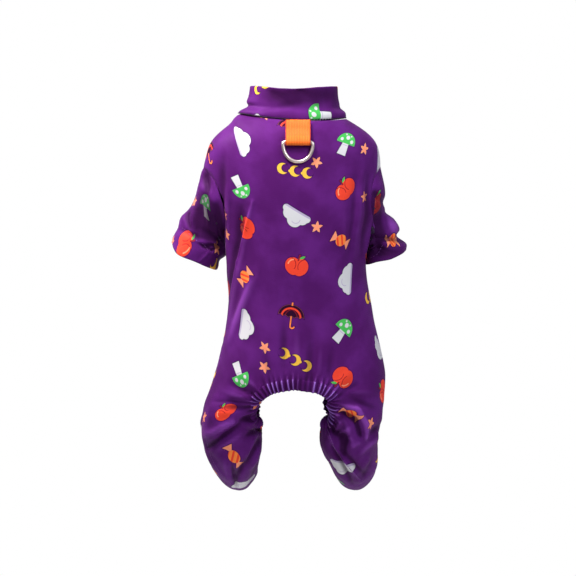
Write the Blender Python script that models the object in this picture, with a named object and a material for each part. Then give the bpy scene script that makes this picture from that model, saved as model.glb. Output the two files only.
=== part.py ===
"""Dog jumpsuit with four legs, kept in the shape that it has on a standing dog.

The neck is up (+Z) and the dog's back faces -Y. The origin is the middle of the collar seam.
Cloth panels are grids laid over lofted sections and folds, and Solidify gives them their wall.
"""

import math
from collections import namedtuple

import bmesh
import bpy
from mathutils import Matrix, Vector

# Body of the suit, in metres
BACK_LENGTH = 0.261  # collar seam to the seat casing, down the middle of the back
BODY_WIDTH = 0.176  # over the shoulders
BODY_DEPTH = 0.130
BELLY_LENGTH = 0.215  # collar seam to the belly edge
SEAT_WIDTH = 0.088  # between the legs' panels at the seat opening
SEAM_SADDLE = 0.0045  # how much higher the collar seam is at the sides
SEAM_LEAN = 0.0025  # how much higher it is on the left than on average

# Collar
COLLAR_WIDTH = 0.088
COLLAR_DEPTH = 0.074
COLLAR_HEIGHT = 0.0315
COLLAR_WALL = 0.0026
RIM_SADDLE = 0.002

# Sleeves
ARMHOLE_HEIGHT = 0.062
ARMHOLE_DEPTH = 0.068
ARMHOLE_DROP = 0.079  # collar seam to the middle of the armhole
ARMHOLE_ANGLE = 88  # degrees from the middle of the back
SLEEVE_LENGTH = 0.068  # armhole to cuff, as it hangs
CUFF_WIDTH = 0.054
SLEEVE_HEM = 0.015

# Trouser legs
LEG_DROP = 0.0915  # from the end of the back to the middle of the trouser cuff
LEG_WIDTH = 0.061
LEG_SPREAD = 0.118  # between the middles of the two legs
LEG_FORWARD_LENGTH = 0.086  # how far the cuff comes forward of the hip
TROUSER_HEM = 0.012

# Cloth, elastic and seams
CLOTH_WALL = 0.0012
HEM_WALL = 0.0020
SEAM_GAP = 0.0008
CASING_WIDTH = 0.0105
CASING_WALL = 0.0026
RUFFLE_PITCH = 0.0090
RUFFLE_RISE = 0.0012

# Leash loop and ring
WEBBING_WIDTH = 0.025
WEBBING_WALL = 0.0013
LOOP_LENGTH = 0.0245
LOOP_OFFSET = 0.004  # to the right of the middle of the back
LOOP_DROP = 0.0035  # collar seam to the top of the loop
RING_WIRE = 0.0036
RING_DEPTH = 0.0200
BAR_CLEARANCE = 0.0006
REST_GAP = 0.0003

PURPLE = (0.130, 0.022, 0.230, 1)
ORANGE = (0.90, 0.23, 0.035, 1)
STEEL = (0.62, 0.58, 0.57, 1)

# Columns of the body grid between two angles from the middle of the back, on each side
SEAT_COLUMNS = 4
BACK_COLUMNS = 5
ARMHOLE_COLUMNS = 7
SIDE_COLUMNS = 4
BELLY_COLUMNS = 4
# Rows of the body grid above, beside and below the armhole
SHOULDER_ROWS = 3
ARMHOLE_ROWS = 6
FLANK_ROWS = 12
BODY_ROWS = SHOULDER_ROWS + ARMHOLE_ROWS + FLANK_ROWS
HALF_COLUMNS = SEAT_COLUMNS + BACK_COLUMNS + ARMHOLE_COLUMNS + SIDE_COLUMNS + BELLY_COLUMNS
HIP_COLUMNS = BACK_COLUMNS + ARMHOLE_COLUMNS + SIDE_COLUMNS
ARMHOLE_FILL = 0.82  # the armhole's share of the block of faces that it is cut from
GUSSET_COLUMNS = 4
SLEEVE_ROWS = 9
LEG_ROWS = 15
CROTCH_ROW = 4  # the leg's first closed row

# level is a share of BACK_LENGTH below the collar seam, left and right are shares of
# BODY_WIDTH, and back and front are shares of BODY_DEPTH
Section = namedtuple("Section", "level left right back front")
BODY_SECTIONS = [
    Section(0.000, 0.318, 0.295, 0.308, 0.323),
    Section(0.032, 0.390, 0.378, 0.362, 0.395),
    Section(0.077, 0.470, 0.458, 0.400, 0.446),
    Section(0.110, 0.492, 0.482, 0.423, 0.485),
    Section(0.169, 0.502, 0.492, 0.446, 0.520),
    Section(0.285, 0.475, 0.486, 0.473, 0.562),
    Section(0.361, 0.430, 0.465, 0.477, 0.569),
    Section(0.450, 0.400, 0.436, 0.475, 0.558),
    Section(0.534, 0.386, 0.410, 0.468, 0.530),
    Section(0.620, 0.384, 0.417, 0.460, 0.496),
    Section(0.700, 0.372, 0.438, 0.452, 0.464),
    Section(0.787, 0.386, 0.461, 0.450, 0.430),
    Section(0.879, 0.413, 0.494, 0.457, 0.405),
    Section(0.970, 0.449, 0.520, 0.458, 0.400),
    Section(1.062, 0.491, 0.527, 0.440, 0.400),
    Section(1.120, 0.516, 0.506, 0.420, 0.400),
]

# rise is a share of COLLAR_HEIGHT, and flare goes from 0 at the rim's size to 1 at the seam's
CollarRow = namedtuple("CollarRow", "rise flare")
COLLAR_ROWS = [
    CollarRow(0.00, 0.97),
    CollarRow(0.10, 1.12),
    CollarRow(0.19, 0.84),
    CollarRow(0.29, 0.36),
    CollarRow(0.42, 0.24),
    CollarRow(0.70, 0.10),
    CollarRow(1.00, 0.00),
]

COLLAR_INNER_ROWS = (0.00, 0.19, 0.42, 1.00)

# along is a share of the way to the cuff, out and drop of SLEEVE_LENGTH from the armhole's
# middle, forward of ARMHOLE_DEPTH, and width of CUFF_WIDTH. turn is how far the ring's outer
# edge leans out, and tilt how far its back edge dips, in degrees. depth is the ring's
# front-to-back size as a share of ARMHOLE_DEPTH.
SleeveRing = namedtuple("SleeveRing", "along out drop forward width turn tilt depth")
SLEEVE_RINGS = {
    "left": [
        SleeveRing(0.30, 0.03, 0.22, 0.12, 1.01, 29, 2, 0.96),
        SleeveRing(0.58, 0.05, 0.47, 0.28, 0.97, 40, 5, 0.92),
        SleeveRing(0.78, 0.12, 0.62, 0.32, 1.00, 51, 8, 0.88),
        SleeveRing(1.00, 0.27, 0.85, 0.35, 0.99, 60, 10, 0.84),
    ],
    "right": [
        SleeveRing(0.30, -0.01, 0.23, 0.12, 0.95, 16, 2, 0.97),
        SleeveRing(0.58, -0.02, 0.46, 0.28, 0.86, 26, 6, 0.95),
        SleeveRing(0.78, 0.03, 0.63, 0.32, 0.89, 41, 10, 0.92),
        SleeveRing(1.00, 0.09, 0.88, 0.35, 0.83, 69, 13, 0.90),
    ],
}

# out is a share of half of LEG_SPREAD, forward of LEG_FORWARD_LENGTH, drop of LEG_DROP, width and depth
# of LEG_WIDTH. turn is in degrees from level, and open is half of the ring's gap in degrees.
LegRing = namedtuple("LegRing", "along out forward drop width depth turn open")
LEG_RINGS = {
    "left": [
        LegRing(0.22, 1.07, 0.03, 0.40, 0.98, 1.34, 4, 48),
        LegRing(0.36, 1.04, 0.09, 0.62, 1.00, 1.16, 18, 34),
        LegRing(0.50, 1.03, 0.20, 0.78, 0.92, 1.02, 36, 28),
        LegRing(0.64, 1.00, 0.37, 0.88, 0.82, 0.90, 53, 24),
        LegRing(0.78, 0.97, 0.60, 0.95, 0.72, 0.79, 64, 24),
        LegRing(0.90, 0.95, 0.82, 0.98, 0.65, 0.70, 68, 24),
        LegRing(1.00, 0.94, 1.00, 1.00, 0.62, 0.65, 68, 24),
    ],
    "right": [
        LegRing(0.22, 1.00, 0.03, 0.40, 0.97, 1.34, 4, 48),
        LegRing(0.36, 0.93, 0.09, 0.62, 0.98, 1.16, 18, 34),
        LegRing(0.50, 0.95, 0.20, 0.78, 0.92, 1.02, 36, 28),
        LegRing(0.64, 1.00, 0.37, 0.88, 0.82, 0.90, 53, 24),
        LegRing(0.78, 1.03, 0.60, 0.95, 0.72, 0.79, 64, 24),
        LegRing(0.90, 1.04, 0.82, 0.98, 0.65, 0.70, 68, 24),
        LegRing(1.00, 1.04, 1.00, 1.00, 0.62, 0.65, 68, 24),
    ],
}

# A fold runs straight from one place on a panel to another. Angles are in degrees, levels are
# shares of the panel's length, width is a share of BODY_WIDTH, and rise of CLOTH_FOLD.
CLOTH_FOLD = 0.004
Fold = namedtuple("Fold", "angle_1 level_1 angle_2 level_2 width rise")
BODY_FOLDS = [
    Fold(-37, 0.39, -58, 0.58, 0.060, 0.80),
    Fold(-58, 0.58, -82, 0.74, 0.060, 0.70),
    Fold(-54, 0.28, -70, 0.52, 0.055, -0.90),
    Fold(50, 0.24, 53, 0.54, 0.055, -0.80),
    Fold(62, 0.26, 66, 0.52, 0.055, 0.60),
    Fold(-40, 0.92, -60, 1.02, 0.055, 0.50),
    Fold(38, 0.94, 58, 1.02, 0.055, 0.45),
    Fold(-150, 0.30, -125, 0.62, 0.060, 0.60),
    Fold(150, 0.34, 120, 0.60, 0.060, 0.60),
]
SLEEVE_FOLDS = {
    "left": [
        Fold(70, 0.15, 110, 0.70, 0.050, -1.00),
        Fold(28, 0.45, 34, 0.95, 0.055, 1.10),
        Fold(130, 0.30, 140, 0.90, 0.045, 0.70),
    ],
    "right": [
        Fold(20, 0.30, 60, 0.50, 0.045, 0.90),
        Fold(12, 0.62, 70, 0.70, 0.040, -0.90),
        Fold(100, 0.20, 120, 0.80, 0.050, -0.80),
    ],
}
LEG_FOLDS = {
    "left": [
        Fold(80, 0.10, 130, 0.16, 0.045, -0.60),
        Fold(40, 0.34, 110, 0.26, 0.045, 0.70),
        Fold(35, 0.44, 120, 0.46, 0.045, -0.80),
    ],
    "right": [
        Fold(45, 0.20, 140, 0.36, 0.050, 1.00),
        Fold(48, 0.30, 100, 0.46, 0.045, -1.10),
        Fold(60, 0.52, 140, 0.50, 0.045, 0.50),
    ],
}


def clear_scene():
    for old in list(bpy.data.objects):
        bpy.data.objects.remove(old)


def make_material(name, colour, roughness, metallic=0.0):
    material = bpy.data.materials.new(name)
    material.use_nodes = True
    shader = material.node_tree.nodes["Principled BSDF"]
    shader.inputs["Base Color"].default_value = colour
    shader.inputs["Roughness"].default_value = roughness
    shader.inputs["Metallic"].default_value = metallic
    material.diffuse_color = colour
    return material


def make_object(name, mesh_or_curve, material):
    obj = bpy.data.objects.new(name, mesh_or_curve)
    obj.data.materials.append(material)
    bpy.context.scene.collection.objects.link(obj)
    return obj


def spline_value(knots, values, x):
    """A smooth curve through values at the knots, read at x."""
    last = len(knots) - 2
    i = max(0, min(last, sum(1 for k in knots[1:-1] if k <= x)))
    k0, k1 = knots[i], knots[i + 1]
    v0, v1 = values[i], values[i + 1]
    step = k1 - k0
    slope_0 = (v1 - values[i - 1]) / (k1 - knots[i - 1]) if i > 0 else (v1 - v0) / step
    slope_1 = (values[i + 2] - v0) / (knots[i + 2] - k0) if i < last else (v1 - v0) / step
    t = (x - k0) / step
    return (
        v0 * (2 * t**3 - 3 * t**2 + 1)
        + slope_0 * (step * (t**3 - 2 * t**2 + t))
        + v1 * (3 * t**2 - 2 * t**3)
        + slope_1 * (step * (t**3 - t**2))
    )


def fold_height(folds, angle, level, around, length):
    """How far the folds lift the cloth at an angle and a level of a panel of that size."""
    height = 0
    place = Vector((math.radians(angle) * around, level * length))
    for fold in folds:
        start = Vector((math.radians(fold.angle_1) * around, fold.level_1 * length))
        end = Vector((math.radians(fold.angle_2) * around, fold.level_2 * length))
        run = end - start
        along = (place - start).dot(run) / run.length_squared
        nearest = start + run * max(0, min(1, along))
        width = fold.width * BODY_WIDTH
        height += fold.rise * CLOTH_FOLD * math.exp(-(((place - nearest).length / width) ** 2))
    return height


def seam_height(angle):
    """The collar seam's height at an angle from the middle of the back."""
    turn = math.sin(math.radians(angle))
    return SEAM_SADDLE * (turn**2 - 0.5) - SEAM_LEAN * turn


def end_height(angle):
    """The height at which the body panels end: the seat's arch, the hips and the belly edge."""
    corner = seat_angle()
    knots = [0, 0.7 * corner, corner, 90, 180 - corner, 180 - 0.6 * corner, 180]
    corner_drop = 0.20 * SEAT_WIDTH
    back, belly = -BACK_LENGTH, -BELLY_LENGTH
    drops = [
        back,
        back - 0.35 * corner_drop,
        back - corner_drop,
        (back + belly) / 2 - corner_drop,
        belly - corner_drop,
        belly - 0.25 * corner_drop,
        belly,
    ]
    return spline_value(knots, drops, abs(angle))


def seat_angle():
    """The angle from the middle of the back at which the seat opening's corner lies."""
    return math.degrees(math.asin(SEAT_WIDTH / BODY_WIDTH))


def body_point(angle, height):
    """A place on the body at an angle from the middle of the back and a height."""
    levels = [row.level for row in BODY_SECTIONS]
    level = -height / BACK_LENGTH
    turn = math.radians(angle)
    side = "right" if angle > 0 else "left"
    face = "back" if abs(angle) < 90 else "front"
    width = spline_value(levels, [getattr(row, side) for row in BODY_SECTIONS], level)
    depth = spline_value(levels, [getattr(row, face) for row in BODY_SECTIONS], level)
    return Vector(
        (width * BODY_WIDTH * math.sin(turn), -depth * BODY_DEPTH * math.cos(turn), height)
    )


def body_angles():
    """The grid's angles, from the middle of the belly round the back and on."""
    reach = ARMHOLE_DEPTH / 2 / ARMHOLE_FILL / (BODY_WIDTH / 2)
    block = math.degrees(reach) * 1.12
    stops = [
        (0, seat_angle(), SEAT_COLUMNS),
        (seat_angle(), ARMHOLE_ANGLE - block, BACK_COLUMNS),
        (ARMHOLE_ANGLE - block, ARMHOLE_ANGLE + block, ARMHOLE_COLUMNS),
        (ARMHOLE_ANGLE + block, 180 - seat_angle(), SIDE_COLUMNS),
        (180 - seat_angle(), 180, BELLY_COLUMNS),
    ]
    half = [a + (b - a) * i / n for a, b, n in stops for i in range(n)] + [180]
    return [-a for a in reversed(half)] + half[1:]


def body_heights(angle):
    """The grid's heights at an angle, from the collar seam down."""
    top, bottom = seam_height(angle), end_height(angle)
    block = ARMHOLE_HEIGHT / 2 / ARMHOLE_FILL
    stops = [
        (top, -ARMHOLE_DROP + block, SHOULDER_ROWS),
        (-ARMHOLE_DROP + block, -ARMHOLE_DROP - block, ARMHOLE_ROWS),
        (-ARMHOLE_DROP - block, bottom, FLANK_ROWS),
    ]
    return [a + (b - a) * i / n for a, b, n in stops for i in range(n)] + [bottom]


def armhole_block():
    """(first column from the middle of the back, first row) of the armhole's block of faces."""
    return SEAT_COLUMNS + BACK_COLUMNS, SHOULDER_ROWS


def armhole_ring(side):
    """Places on the body round the armhole, as (turn from the top towards the back, place)."""
    angles, first_column, first_row = body_angles(), *armhole_block()
    middle = (len(angles) - 1) // 2
    heights = body_heights(ARMHOLE_ANGLE)
    low, high = angles[middle + first_column], angles[middle + first_column + ARMHOLE_COLUMNS]
    half_height = (heights[first_row] - heights[first_row + ARMHOLE_ROWS]) / 2
    ring = []
    for column, row in block_border(0, 0):
        across = 2 * column / ARMHOLE_COLUMNS - 1
        down = 2 * row / ARMHOLE_ROWS - 1
        turn = math.atan2(-across, -down)
        angle = (low + high) / 2 - (high - low) / 2 * ARMHOLE_FILL * math.sin(turn)
        height = -ARMHOLE_DROP + half_height * ARMHOLE_FILL * math.cos(turn)
        ring.append((turn, body_point(angle if side == "right" else -angle, height)))
    return ring


def block_border(column, row):
    """The corners of the armhole's block of faces in order, as (column, row)."""
    right, bottom = column + ARMHOLE_COLUMNS, row + ARMHOLE_ROWS
    top_run = [(c, row) for c in range(column, right)]
    right_run = [(right, r) for r in range(row, bottom)]
    bottom_run = [(c, bottom) for c in range(right, column, -1)]
    left_run = [(column, r) for r in range(bottom, row, -1)]
    return top_run + right_run + bottom_run + left_run


def add_grid(mesh, columns, rows):
    """Adds a grid of faces to a mesh and gives its vertices by (column, row)."""
    made = bmesh.ops.create_grid(mesh, x_segments=columns, y_segments=rows, size=0.5)
    vertices = {}
    for vertex in made["verts"]:
        column = round((vertex.co.x + 0.5) * columns)
        row = round((0.5 - vertex.co.y) * rows)
        vertices[column, row] = vertex
    return vertices


def join_sides(mesh, vertices, last):
    """Joins a grid's last column to its first, which makes a tube of it."""
    pairs = {
        vertex: vertices[0, row]
        for (column, row), vertex in vertices.items()
        if column == last and vertices.get((0, row), vertex) is not vertex
    }
    rows = [row for (column, row) in vertices if column == last and (0, row) in vertices]
    bmesh.ops.weld_verts(mesh, targetmap=pairs)
    for row in rows:
        vertices[last, row] = vertices[0, row]


def face_outwards(mesh, inside):
    """Turns every face of an open shell away from a place that lies inside it."""
    bmesh.ops.recalc_face_normals(mesh, faces=mesh.faces[:])
    out = sum((f.calc_center_median() - inside).dot(f.normal) * f.calc_area() for f in mesh.faces)
    if out < 0:
        bmesh.ops.reverse_faces(mesh, faces=mesh.faces[:])
    mesh.normal_update()


def lift_folds(mesh, heights):
    """Moves each vertex along its normal by its height, all at once."""
    mesh.normal_update()
    moves = [(v, v.normal * rise) for v, rise in heights.items() if v.is_valid and rise]
    for vertex, move in moves:
        vertex.co += move


def pull_in_borders(mesh, distance):
    """Draws the border of a panel in, so that panels keep a gap along their seams."""
    moves = []
    for vertex in mesh.verts:
        if not vertex.is_boundary:
            continue
        inner = [e.other_vert(vertex).co for e in vertex.link_edges if not e.is_boundary]
        inner = inner or [face.calc_center_median() for face in vertex.link_faces]
        aim = sum((place - vertex.co for place in inner), Vector())
        moves.append((vertex, aim.normalized() * distance))
    for vertex, move in moves:
        vertex.co += move


def cloth_object(name, mesh, material, hem=None):
    """Makes a panel's mesh an object with a cloth wall, thicker at the vertices in hem."""
    mesh.verts.index_update()
    hem_indices = {vertex.index for vertex in hem or ()}
    plain_indices = [v.index for v in mesh.verts if v.index not in hem_indices]
    data = bpy.data.meshes.new(name)
    mesh.to_mesh(data)
    mesh.free()
    obj = make_object(name, data, material)
    data.shade_smooth()
    walls = obj.vertex_groups.new(name="wall")
    walls.add(plain_indices, CLOTH_WALL / HEM_WALL, "REPLACE")
    if hem_indices:
        walls.add(sorted(hem_indices), 1.0, "REPLACE")
    solidify = obj.modifiers.new("wall", "SOLIDIFY")
    solidify.thickness = HEM_WALL
    solidify.offset = -1
    solidify.vertex_group = walls.name
    solidify.use_even_offset = False
    return obj


def add_body(mesh):
    """Adds the body as one open shell: (its vertices by column and row, their folds)."""
    angles = body_angles()
    vertices = add_grid(mesh, len(angles) - 1, BODY_ROWS)
    heights = {}
    around = BODY_WIDTH / 2
    for (column, row), vertex in vertices.items():
        angle = angles[column]
        height = body_heights(angle)[row]
        vertex.co = body_point(angle, height)
        level = -height / BACK_LENGTH
        heights[vertex] = fold_height(BODY_FOLDS, angle, level, around, BACK_LENGTH)
    join_sides(mesh, vertices, len(angles) - 1)
    return vertices, heights


def column_at(side, columns_out):
    """The body column so many columns from the middle of the back."""
    return HALF_COLUMNS + (columns_out if side == "right" else -columns_out)


def cut_armhole(mesh, vertices, side):
    """Takes out the block of faces behind a sleeve and fills it to the armhole's ring."""
    first_column, first_row = armhole_block()
    inside = {
        vertices[column_at(side, column), row]
        for column in range(first_column, first_column + ARMHOLE_COLUMNS + 1)
        for row in range(first_row, first_row + ARMHOLE_ROWS + 1)
    }
    corners = block_border(first_column, first_row)
    border = [vertices[column_at(side, column), row] for column, row in corners]
    gone = [face for face in mesh.faces if all(v in inside for v in face.verts)]
    bmesh.ops.delete(mesh, geom=gone, context="FACES")
    ring = [mesh.verts.new(place) for _, place in armhole_ring(side)]
    for i, vertex in enumerate(ring):
        after = (i + 1) % len(ring)
        mesh.faces.new((border[i], border[after], ring[after], vertex))


def leg_ring_point(ring, sign, turn):
    """A place on a leg's ring, at a turn in degrees from the inner side towards the back."""
    centre = Vector(
        (
            sign * ring.out * LEG_SPREAD / 2,
            ring.forward * LEG_FORWARD_LENGTH,
            -BACK_LENGTH - ring.drop * LEG_DROP,
        )
    )
    tilt = math.radians(ring.turn)
    inner = Vector((-sign, 0, 0))
    behind = Vector((0, -math.cos(tilt), -math.sin(tilt)))
    across = inner * math.cos(math.radians(turn)) * ring.width
    return centre + (across + behind * math.sin(math.radians(turn)) * ring.depth) * LEG_WIDTH / 2


def add_leg(mesh, body, side):
    """Adds a leg that hangs from the body's last row: (its vertices, their folds)."""
    rings = LEG_RINGS[side]
    sign = 1 if side == "right" else -1
    columns = HIP_COLUMNS + GUSSET_COLUMNS
    hip_columns = [column_at(side, SEAT_COLUMNS + i) for i in range(HIP_COLUMNS + 1)]
    above = [body[column, BODY_ROWS - 1].co.copy() for column in hip_columns]
    hip = [body[column, BODY_ROWS].co.copy() for column in hip_columns]
    vertices = add_grid(mesh, columns, LEG_ROWS)
    hip_step = (hip[0] - above[0]).length / (LEG_DROP + LEG_FORWARD_LENGTH)
    knots = [-hip_step, 0.0] + [ring.along for ring in rings]
    heights = {}
    length = LEG_DROP + LEG_FORWARD_LENGTH
    for (column, row), vertex in vertices.items():
        along = row / LEG_ROWS
        turns = []
        for ring in rings:
            if column <= HIP_COLUMNS:
                turns.append(ring.open + (360 - 2 * ring.open) * column / HIP_COLUMNS)
            else:
                turns.append(ring.open * (2 * (column - HIP_COLUMNS) / GUSSET_COLUMNS - 1))
        places = [leg_ring_point(ring, sign, turn) for ring, turn in zip(rings, turns)]
        if column <= HIP_COLUMNS:
            starts = [above[column], hip[column]]
        else:
            starts = [hip[-1].lerp(hip[0], (column - HIP_COLUMNS) / GUSSET_COLUMNS)] * 2
        vertex.co = spline_value(knots, starts + places, along)
        fade = min(1, 4 * along)
        turn = turns[len(turns) // 2]
        rise = fold_height(LEG_FOLDS[side], turn, along, LEG_WIDTH / 2, length)
        heights[vertex] = fade * rise
    gap = {
        vertices[column, row]
        for column in range(HIP_COLUMNS, columns + 1)
        for row in range(CROTCH_ROW + 1)
    }
    open_faces = [face for face in mesh.faces if all(v in gap for v in face.verts)]
    bmesh.ops.delete(mesh, geom=open_faces, context="FACES")
    vertices = {key: vertex for key, vertex in vertices.items() if vertex.is_valid}
    join_sides(mesh, vertices, columns)
    joins = {vertices[i, 0]: body[column, BODY_ROWS] for i, column in enumerate(hip_columns)}
    bmesh.ops.weld_verts(mesh, targetmap=joins)
    for i, column in enumerate(hip_columns):
        vertices[i, 0] = body[column, BODY_ROWS]
    return vertices, {v: rise for v, rise in heights.items() if v.is_valid}


def sleeve_ring_place(ring, side, turn):
    """A place on a sleeve's ring, at a turn in radians from its outer side towards the back."""
    sign = 1 if side == "right" else -1
    middle = body_point(sign * ARMHOLE_ANGLE, -ARMHOLE_DROP)
    centre = middle + Vector(
        (
            sign * ring.out * SLEEVE_LENGTH,
            ring.forward * ARMHOLE_DEPTH,
            -ring.drop * SLEEVE_LENGTH,
        )
    )
    lean, tilt = math.radians(ring.turn), math.radians(ring.tilt)
    outer = Vector((sign * math.sin(lean), 0, math.cos(lean)))
    behind = Vector((0, -math.cos(tilt), -math.sin(tilt)))
    across = outer * math.cos(turn) * ring.width * CUFF_WIDTH / 2
    return centre + across + behind * math.sin(turn) * ring.depth * ARMHOLE_DEPTH / 2


def make_sleeve(side, material):
    """A sleeve from the armhole's ring to its hem."""
    ring = armhole_ring(side)
    rings = SLEEVE_RINGS[side]
    mesh = bmesh.new()
    vertices = add_grid(mesh, len(ring), SLEEVE_ROWS)
    knots = [0.0] + [row.along for row in rings]
    heights = {}
    hem_row = SLEEVE_ROWS * (1 - SLEEVE_HEM / SLEEVE_LENGTH)
    for (column, row), vertex in vertices.items():
        turn, start = ring[column % len(ring)]
        places = [start] + [sleeve_ring_place(r, side, turn) for r in rings]
        along = row / SLEEVE_ROWS
        vertex.co = spline_value(knots, places, along)
        fade = min(1, 3 * along)
        degrees = math.degrees(turn) % 360
        rise = fold_height(SLEEVE_FOLDS[side], degrees, along, CUFF_WIDTH / 2, SLEEVE_LENGTH)
        heights[vertex] = fade * rise
    join_sides(mesh, vertices, len(ring))
    face_outwards(mesh, sum((v.co for v in mesh.verts), Vector()) / len(mesh.verts))
    lift_folds(mesh, heights)
    pull_in_borders(mesh, SEAM_GAP / 2)
    hem = {vertex for (column, row), vertex in vertices.items() if row >= hem_row}
    cloth_object("sleeve_" + side, mesh, material, hem)


def closed_band(name, stations, material):
    """A closed solid through rings of places, the last ring joined to the first."""
    mesh = bmesh.new()
    rings = [[mesh.verts.new(place) for place in station] for station in stations]
    for i, ring in enumerate(rings):
        following = rings[(i + 1) % len(rings)]
        for j, vertex in enumerate(ring):
            k = (j + 1) % len(ring)
            mesh.faces.new((vertex, following[j], following[k], ring[k]))
    bmesh.ops.recalc_face_normals(mesh, faces=mesh.faces[:])
    data = bpy.data.meshes.new(name)
    mesh.to_mesh(data)
    mesh.free()
    data.shade_smooth()
    return make_object(name, data, material)


def rim_height(angle):
    turn = math.sin(math.radians(angle))
    return COLLAR_HEIGHT + RIM_SADDLE * (turn**2 - 1)


def make_collar(material):
    """The folded stand-up collar, which swells over its seam."""
    stations = []
    for angle in body_angles()[:-1]:
        low, high = seam_height(angle) + SEAM_GAP, rim_height(angle)
        seam = body_point(angle, 0)
        turn = math.radians(angle)
        rim = Vector((COLLAR_WIDTH / 2 * math.sin(turn), -COLLAR_DEPTH / 2 * math.cos(turn), 0))
        outer, inner = [], []
        for row in COLLAR_ROWS:
            place = rim.lerp(seam, row.flare)
            place.z = low + (high - low) * row.rise
            outer.append(place)
            if row.rise in COLLAR_INNER_ROWS:
                out = Vector((place.x, place.y, 0)).normalized()
                inner.append(place - out * COLLAR_WALL)
        crown = (outer[-1] + inner[-1]) / 2
        crown.z += COLLAR_WALL / 3
        stations.append(outer + [crown] + inner[::-1])
    return closed_band("collar", stations, material)


def casing_path(body, legs):
    """The seat opening's border as (place, normal, way out of the cloth), all the way round."""
    border = []

    def add(table, column, row, inner_column, inner_row):
        vertex, inner = table[column, row], table[inner_column, inner_row]
        border.append((vertex.co.copy(), vertex.normal.copy(), vertex.co - inner.co))

    def add_body_edge(columns):
        for column in columns:
            column %= 2 * HALF_COLUMNS
            add(body, column, BODY_ROWS, column, BODY_ROWS - 1)

    def add_leg_edge(side, rows, column, inner_column):
        for row in rows:
            add(legs[side], column, row, inner_column, row)

    def add_crotch(side, columns):
        for column in columns:
            add(legs[side], column, CROTCH_ROW, column, CROTCH_ROW + 1)

    down, up = range(1, CROTCH_ROW + 1), range(CROTCH_ROW, 0, -1)
    front = (HIP_COLUMNS, HIP_COLUMNS - 1)
    gusset = range(HIP_COLUMNS + 1, HIP_COLUMNS + GUSSET_COLUMNS)
    add_body_edge(range(HALF_COLUMNS - SEAT_COLUMNS, HALF_COLUMNS + SEAT_COLUMNS + 1))
    add_leg_edge("right", down, 0, 1)
    add_crotch("right", reversed(gusset))
    add_leg_edge("right", up, *front)
    belly_end = 2 * HALF_COLUMNS
    add_body_edge(range(belly_end - BELLY_COLUMNS, belly_end + BELLY_COLUMNS + 1))
    add_leg_edge("left", down, *front)
    add_crotch("left", gusset)
    add_leg_edge("left", up, 0, 1)
    return border


def make_casing(border, material):
    """The gathered elastic casing round the seat opening."""
    count = len(border)
    lengths = [(border[(i + 1) % count][0] - border[i][0]).length for i in range(count)]
    total = sum(lengths)
    ruffles = round(total / RUFFLE_PITCH)
    ways = []
    for i, (place, normal, out) in enumerate(border):
        edge = border[(i + 1) % count][0] - border[i - 1][0]
        side = edge.cross(normal).normalized()
        ways.append(side if side.dot(out) > 0 else -side)
    stations = []
    walked = 0
    for i in range(count):
        after = (i + 1) % count
        steps = max(2, round(4 * lengths[i] / RUFFLE_PITCH))
        for step in range(steps):
            share = step / steps
            place = border[i][0].lerp(border[after][0], share)
            normal = border[i][1].lerp(border[after][1], share).normalized()
            way = ways[i].lerp(ways[after], share).normalized()
            phase = 2 * math.pi * ruffles * (walked + share * lengths[i]) / total
            lift = normal * RUFFLE_RISE * math.sin(phase)
            wall = CASING_WALL * (0.80 + 0.20 * math.cos(phase))
            near = place + way * SEAM_GAP
            half_way = place + way * CASING_WIDTH * 0.5 + lift
            end = place + way * CASING_WIDTH + lift * 0.8 - normal * wall / 2
            stations.append(
                [near, half_way, end, half_way - normal * wall, near - normal * CLOTH_WALL]
            )
        walked += lengths[i]
    return closed_band("seat_casing", stations, material)


def split_panel(mesh, indices):
    """A copy of a mesh that holds only the faces of those indices."""
    part = mesh.copy()
    gone = [face for face in part.faces if face.index not in indices]
    bmesh.ops.delete(part, geom=gone, context="FACES")
    return part


def make_panels(material):
    """The back, the belly, the trouser legs and the casing round the seat opening."""
    mesh = bmesh.new()
    body, heights = add_body(mesh)
    for side in ("left", "right"):
        cut_armhole(mesh, body, side)
    heights = {vertex: rise for vertex, rise in heights.items() if vertex.is_valid}
    legs = {}
    for side in ("left", "right"):
        legs[side], leg_heights = add_leg(mesh, body, side)
        heights.update(leg_heights)
    face_outwards(mesh, Vector((0, 0, -BACK_LENGTH / 2)))
    lift_folds(mesh, heights)
    mesh.normal_update()
    make_casing(casing_path(body, legs), material)
    belly_end = 2 * HALF_COLUMNS
    belly_columns = range(belly_end - BELLY_COLUMNS, belly_end + BELLY_COLUMNS + 1)
    belly_vertices = {
        body[column % belly_end, row] for column in belly_columns for row in range(BODY_ROWS + 1)
    }
    hem_row = LEG_ROWS * (1 - TROUSER_HEM / (LEG_DROP + LEG_FORWARD_LENGTH))
    hem_places = set()
    mesh.verts.index_update()
    mesh.faces.index_update()
    for table in legs.values():
        hem_places |= {v.index for (column, row), v in table.items() if row >= hem_row}
    everything = {face.index for face in mesh.faces}
    belly = {f.index for f in mesh.faces if all(v in belly_vertices for v in f.verts)}
    panels = {"belly_panel": belly}
    for side, table in legs.items():
        cloth = set(table.values())
        panels["leg_" + side] = {f.index for f in mesh.faces if all(v in cloth for v in f.verts)}
    panels["back_panel"] = everything.difference(*panels.values())
    for name, indices in panels.items():
        panel = split_panel(mesh, indices)
        hem = {vertex for vertex in panel.verts if vertex.index in hem_places}
        pull_in_borders(panel, SEAM_GAP / 2)
        cloth_object(name, panel, material, hem)
    mesh.free()


def loop_frame(drop):
    """(place on the body, way out of it) at a drop below the seam, where the loop lies."""
    angle = math.degrees(math.asin(LOOP_OFFSET / (BODY_WIDTH / 2)))
    here = body_point(angle, -drop)
    below = body_point(angle, -drop - 0.002)
    down = (below - here)
    down.x = 0
    down.normalize()
    out = Vector((0, down.z, -down.y))
    return Vector((LOOP_OFFSET, here.y, here.z)), out


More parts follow.
